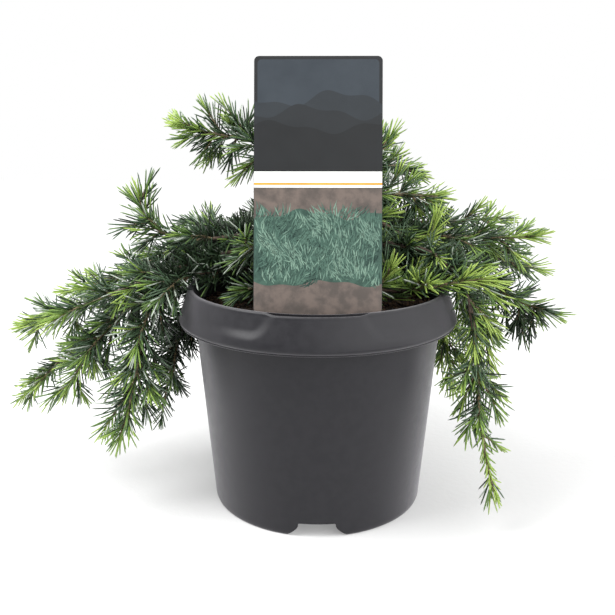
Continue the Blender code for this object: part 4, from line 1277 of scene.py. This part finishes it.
sky_top = CARD_LENGTH - PRINT_MARGIN
sky_half = CARD_WIDTH / 2 - PRINT_MARGIN
sky = [(-sky_half, BAND[1]), (sky_half, BAND[1])]
sky += arc((sky_half - 0.0025, sky_top - 0.0025), 0.0025, 0, 90, 6)
sky += arc((-sky_half + 0.0025, sky_top - 0.0025), 0.0025, 90, 180, 6)
print_layer("print_sky", sky, 1, ((0.022, 0.029, 0.037), (0.029, 0.037, 0.046)), 25.0)
HILLS = (
    ("print_hill_far", 0.1330, 0.0042, 0.4, (0.017, 0.021, 0.025)),
    ("print_hill_middle", 0.1250, 0.0036, 2.2, (0.012, 0.014, 0.016)),
    ("print_hill_near", 0.1160, 0.0030, 4.1, (0.008, 0.009, 0.010)),
)
for layer, (hill_name, crest, swell, phase, tint) in enumerate(HILLS):
    lighter = tuple(1.15 * value for value in tint)
    print_layer(hill_name, hill_outline(BAND[1], crest, swell, phase), 2 + layer, (tint, lighter))


def strip_outline(low, high):
    """Return the outline of a level strip across the card."""
    return [(-PRINT_HALF, low), (PRINT_HALF, low), (PRINT_HALF, high), (-PRINT_HALF, high)]


print_layer("print_band", strip_outline(*BAND), 5, ((0.80, 0.80, 0.79), (0.86, 0.86, 0.85)))
print_layer("print_gap", strip_outline(PICTURE_TOP, BAND[0]), 4, ((0.80, 0.80, 0.79), (0.86, 0.86, 0.85)))
print_layer("print_stripe", strip_outline(*STRIPE), 6, ((0.80, 0.26, 0.03), (0.88, 0.31, 0.04)))
shoulder = SHOULDER_CORNER + 0.0002
ground = arc((-PRINT_HALF + shoulder, PICTURE_FOOT + shoulder), shoulder, 180, 270, 8)
ground += arc((PRINT_HALF - shoulder, PICTURE_FOOT + shoulder), shoulder, 270, 360, 8)
ground += [(PRINT_HALF, PICTURE_TOP), (-PRINT_HALF, PICTURE_TOP)]
print_layer("print_ground", ground, 1, ((0.070, 0.058, 0.051), (0.125, 0.098, 0.084)), 110.0)
FIELD_FOOT = 0.0230
FIELD_TOP = 0.0640


def field_edge(across, level, swell, phase):
    """Return the height of the wavy edge of the green field at a place across the card."""
    return level + swell * (math.sin(across * 120.0 + phase) + 0.5 * math.sin(across * 310.0 + 2.0 * phase))


field_row = np.linspace(-PRINT_HALF, PRINT_HALF, 60)
field = [(across, field_edge(across, FIELD_FOOT, 0.0015, 1.0)) for across in field_row]
field += [(across, field_edge(across, FIELD_TOP, 0.0024, 2.6)) for across in field_row[::-1]]
print_layer("print_field", field, 2, ((0.018, 0.045, 0.034), (0.040, 0.085, 0.064)), 160.0)

STROKES = 1500
STROKE_LENGTHS = (0.0034, 0.0080)
STROKE_WIDTH = 0.00070
INK_TONES = (
    ("print_tufts_dark", (0.018, 0.046, 0.036), (0.034, 0.074, 0.056)),
    ("print_tufts_mid", (0.046, 0.100, 0.076), (0.070, 0.135, 0.102)),
    ("print_tufts_pale", (0.100, 0.175, 0.135), (0.150, 0.240, 0.185)),
)
STROKE_SHAPE = ((0.0, -0.3), (0.45, -0.5), (1.0, 0.0), (0.45, 0.5), (0.0, 0.3))

stroke_chance = random.Random(5)
strokes = [Cloud() for _ in INK_TONES]
for number in range(STROKES):
    across = PRINT_HALF * (2.0 * (number * 0.61803 % 1.0) - 1.0)
    share = number / STROKES
    swell = 0.0020 * math.sin(130.0 * across) + 0.0012 * math.sin(310.0 * across + 1.0)
    along = FIELD_TOP + swell - (FIELD_TOP - FIELD_FOOT) * share + stroke_chance.uniform(-0.0012, 0.0012)
    clump = math.sin(170.0 * across + 2.0 * math.sin(140.0 * along)) + math.sin(230.0 * along + 90.0 * across)
    turn = math.radians(90.0 + 24.0 * clump + stroke_chance.gauss(0.0, 20.0))
    reach = stroke_chance.uniform(*STROKE_LENGTHS)
    if abs(across + reach * math.cos(turn)) > PRINT_HALF - 0.0004 or abs(across) > PRINT_HALF - 0.0006:
        continue
    tone = min(max(round(1.0 + 0.45 * clump + stroke_chance.gauss(0.0, 0.6)), 0), len(INK_TONES) - 1)
    corners = []
    for level in (CARD_THICKNESS / 2 - INK, CARD_THICKNESS / 2 + (3 + tone) * INK):
        for forth, aside in STROKE_SHAPE:
            x = across + reach * forth * math.cos(turn) - STROKE_WIDTH * aside * math.sin(turn)
            z = along + reach * forth * math.sin(turn) + STROKE_WIDTH * aside * math.cos(turn)
            corners.append(lean_back(x, z, level))
    front = [(5, 6, 7), (5, 7, 8), (5, 8, 9)]
    back = [(0, 2, 1), (0, 3, 2), (0, 4, 3)]
    ring = [(n, (n + 1) % 5, 5 + (n + 1) % 5) for n in range(5)]
    ring += [(n, 5 + (n + 1) % 5, 5 + n) for n in range(5)]
    strokes[tone].add(np.array(corners), np.array(front + back + ring))
for cloud, (ink_name, dark, light) in zip(strokes, INK_TONES):
    piece = cloud.piece(ink_name)
    piece.data.shade_flat()
    settle(piece, new_finish(ink_name, dark, light, 120.0, (0.42, 0.50), 0.00001, 1800.0, 0.28))

# Floor and light: a white floor under soft studio boxes, with the main one high on the left
bpy.ops.mesh.primitive_plane_add(size=6.0, location=(0.0, 0.0, 0.0))
floor = bpy.context.object
floor.name = "floor"
floor_finish = new_finish("floor_white", (0.51, 0.51, 0.51), (0.53, 0.53, 0.53), 3.0, (0.7, 0.8), 0.0001, 200.0)
floor_shader = floor_finish.node_tree.nodes["Principled BSDF"]
floor_shader.inputs["Emission Color"].default_value = (1.0, 1.0, 1.0, 1.0)
floor_shader.inputs["Emission Strength"].default_value = 0.25
floor.data.materials.append(floor_finish)

world = bpy.data.worlds.new("studio")
bpy.context.scene.world = world
world.use_nodes = True
studio = world.node_tree
studio.nodes["Background"].inputs["Color"].default_value = (1.0, 1.0, 1.0, 1.0)
direction = add_node(studio, "TexCoord")
BASE_GLOW = 0.16
GLOWS = (
    ((0.0, 0.0, 1.0), 0.25, 0.9),
    ((0.0, 1.0, 0.0), 0.0, 1.1),
    ((-1.0, 0.0, 0.0), 0.35, 0.6),
    ((0.77, -0.60, 0.22), 0.4, 3.2),
)
glow = None
for way, low, most in GLOWS:
    facing = add_node(studio, "VectorMath", {1: way}, operation="DOT_PRODUCT")
    ramp = add_node(studio, "MapRange", {"From Min": low, "To Max": most})
    studio.links.new(direction.outputs["Generated"], facing.inputs[0])
    studio.links.new(facing.outputs["Value"], ramp.inputs["Value"])
    both = add_node(studio, "Math", {0: BASE_GLOW}, operation="ADD")
    if glow is not None:
        studio.links.new(glow, both.inputs[0])
    studio.links.new(ramp.outputs["Result"], both.inputs[1])
    glow = both.outputs["Value"]
seen = add_node(studio, "LightPath")
backdrop = add_node(studio, "Mix", {3: 1.0}, data_type="FLOAT")
studio.links.new(seen.outputs["Is Camera Ray"], backdrop.inputs[0])
studio.links.new(glow, backdrop.inputs[2])
studio.links.new(backdrop.outputs[0], studio.nodes["Background"].inputs["Strength"])
bpy.context.scene.view_settings.view_transform = "Standard"
KEY_PLACE = (-0.85, -0.25, 1.30)
key = bpy.data.lights.new("key", "AREA")
key.energy = 27.0
key.size = 0.9
softbox = bpy.data.objects.new("key", key)
softbox.location = KEY_PLACE
softbox.rotation_euler = (Vector((0.0, 0.0, 0.12)) - Vector(KEY_PLACE)).to_track_quat("-Z", "Y").to_euler()
bpy.context.scene.collection.objects.link(softbox)

# Camera: low and near, looking a little down on the pot as in the photograph
eye = bpy.data.cameras.new("camera")
eye.sensor_width = 36.0
eye.lens = 44.77
camera = bpy.data.objects.new("camera", eye)
camera.location = (0.0, -0.5148, 0.2584)
camera.rotation_euler = (math.radians(90.0 - 13.59), 0.0, math.radians(0.78))
bpy.context.scene.collection.objects.link(camera)
bpy.context.scene.camera = camera
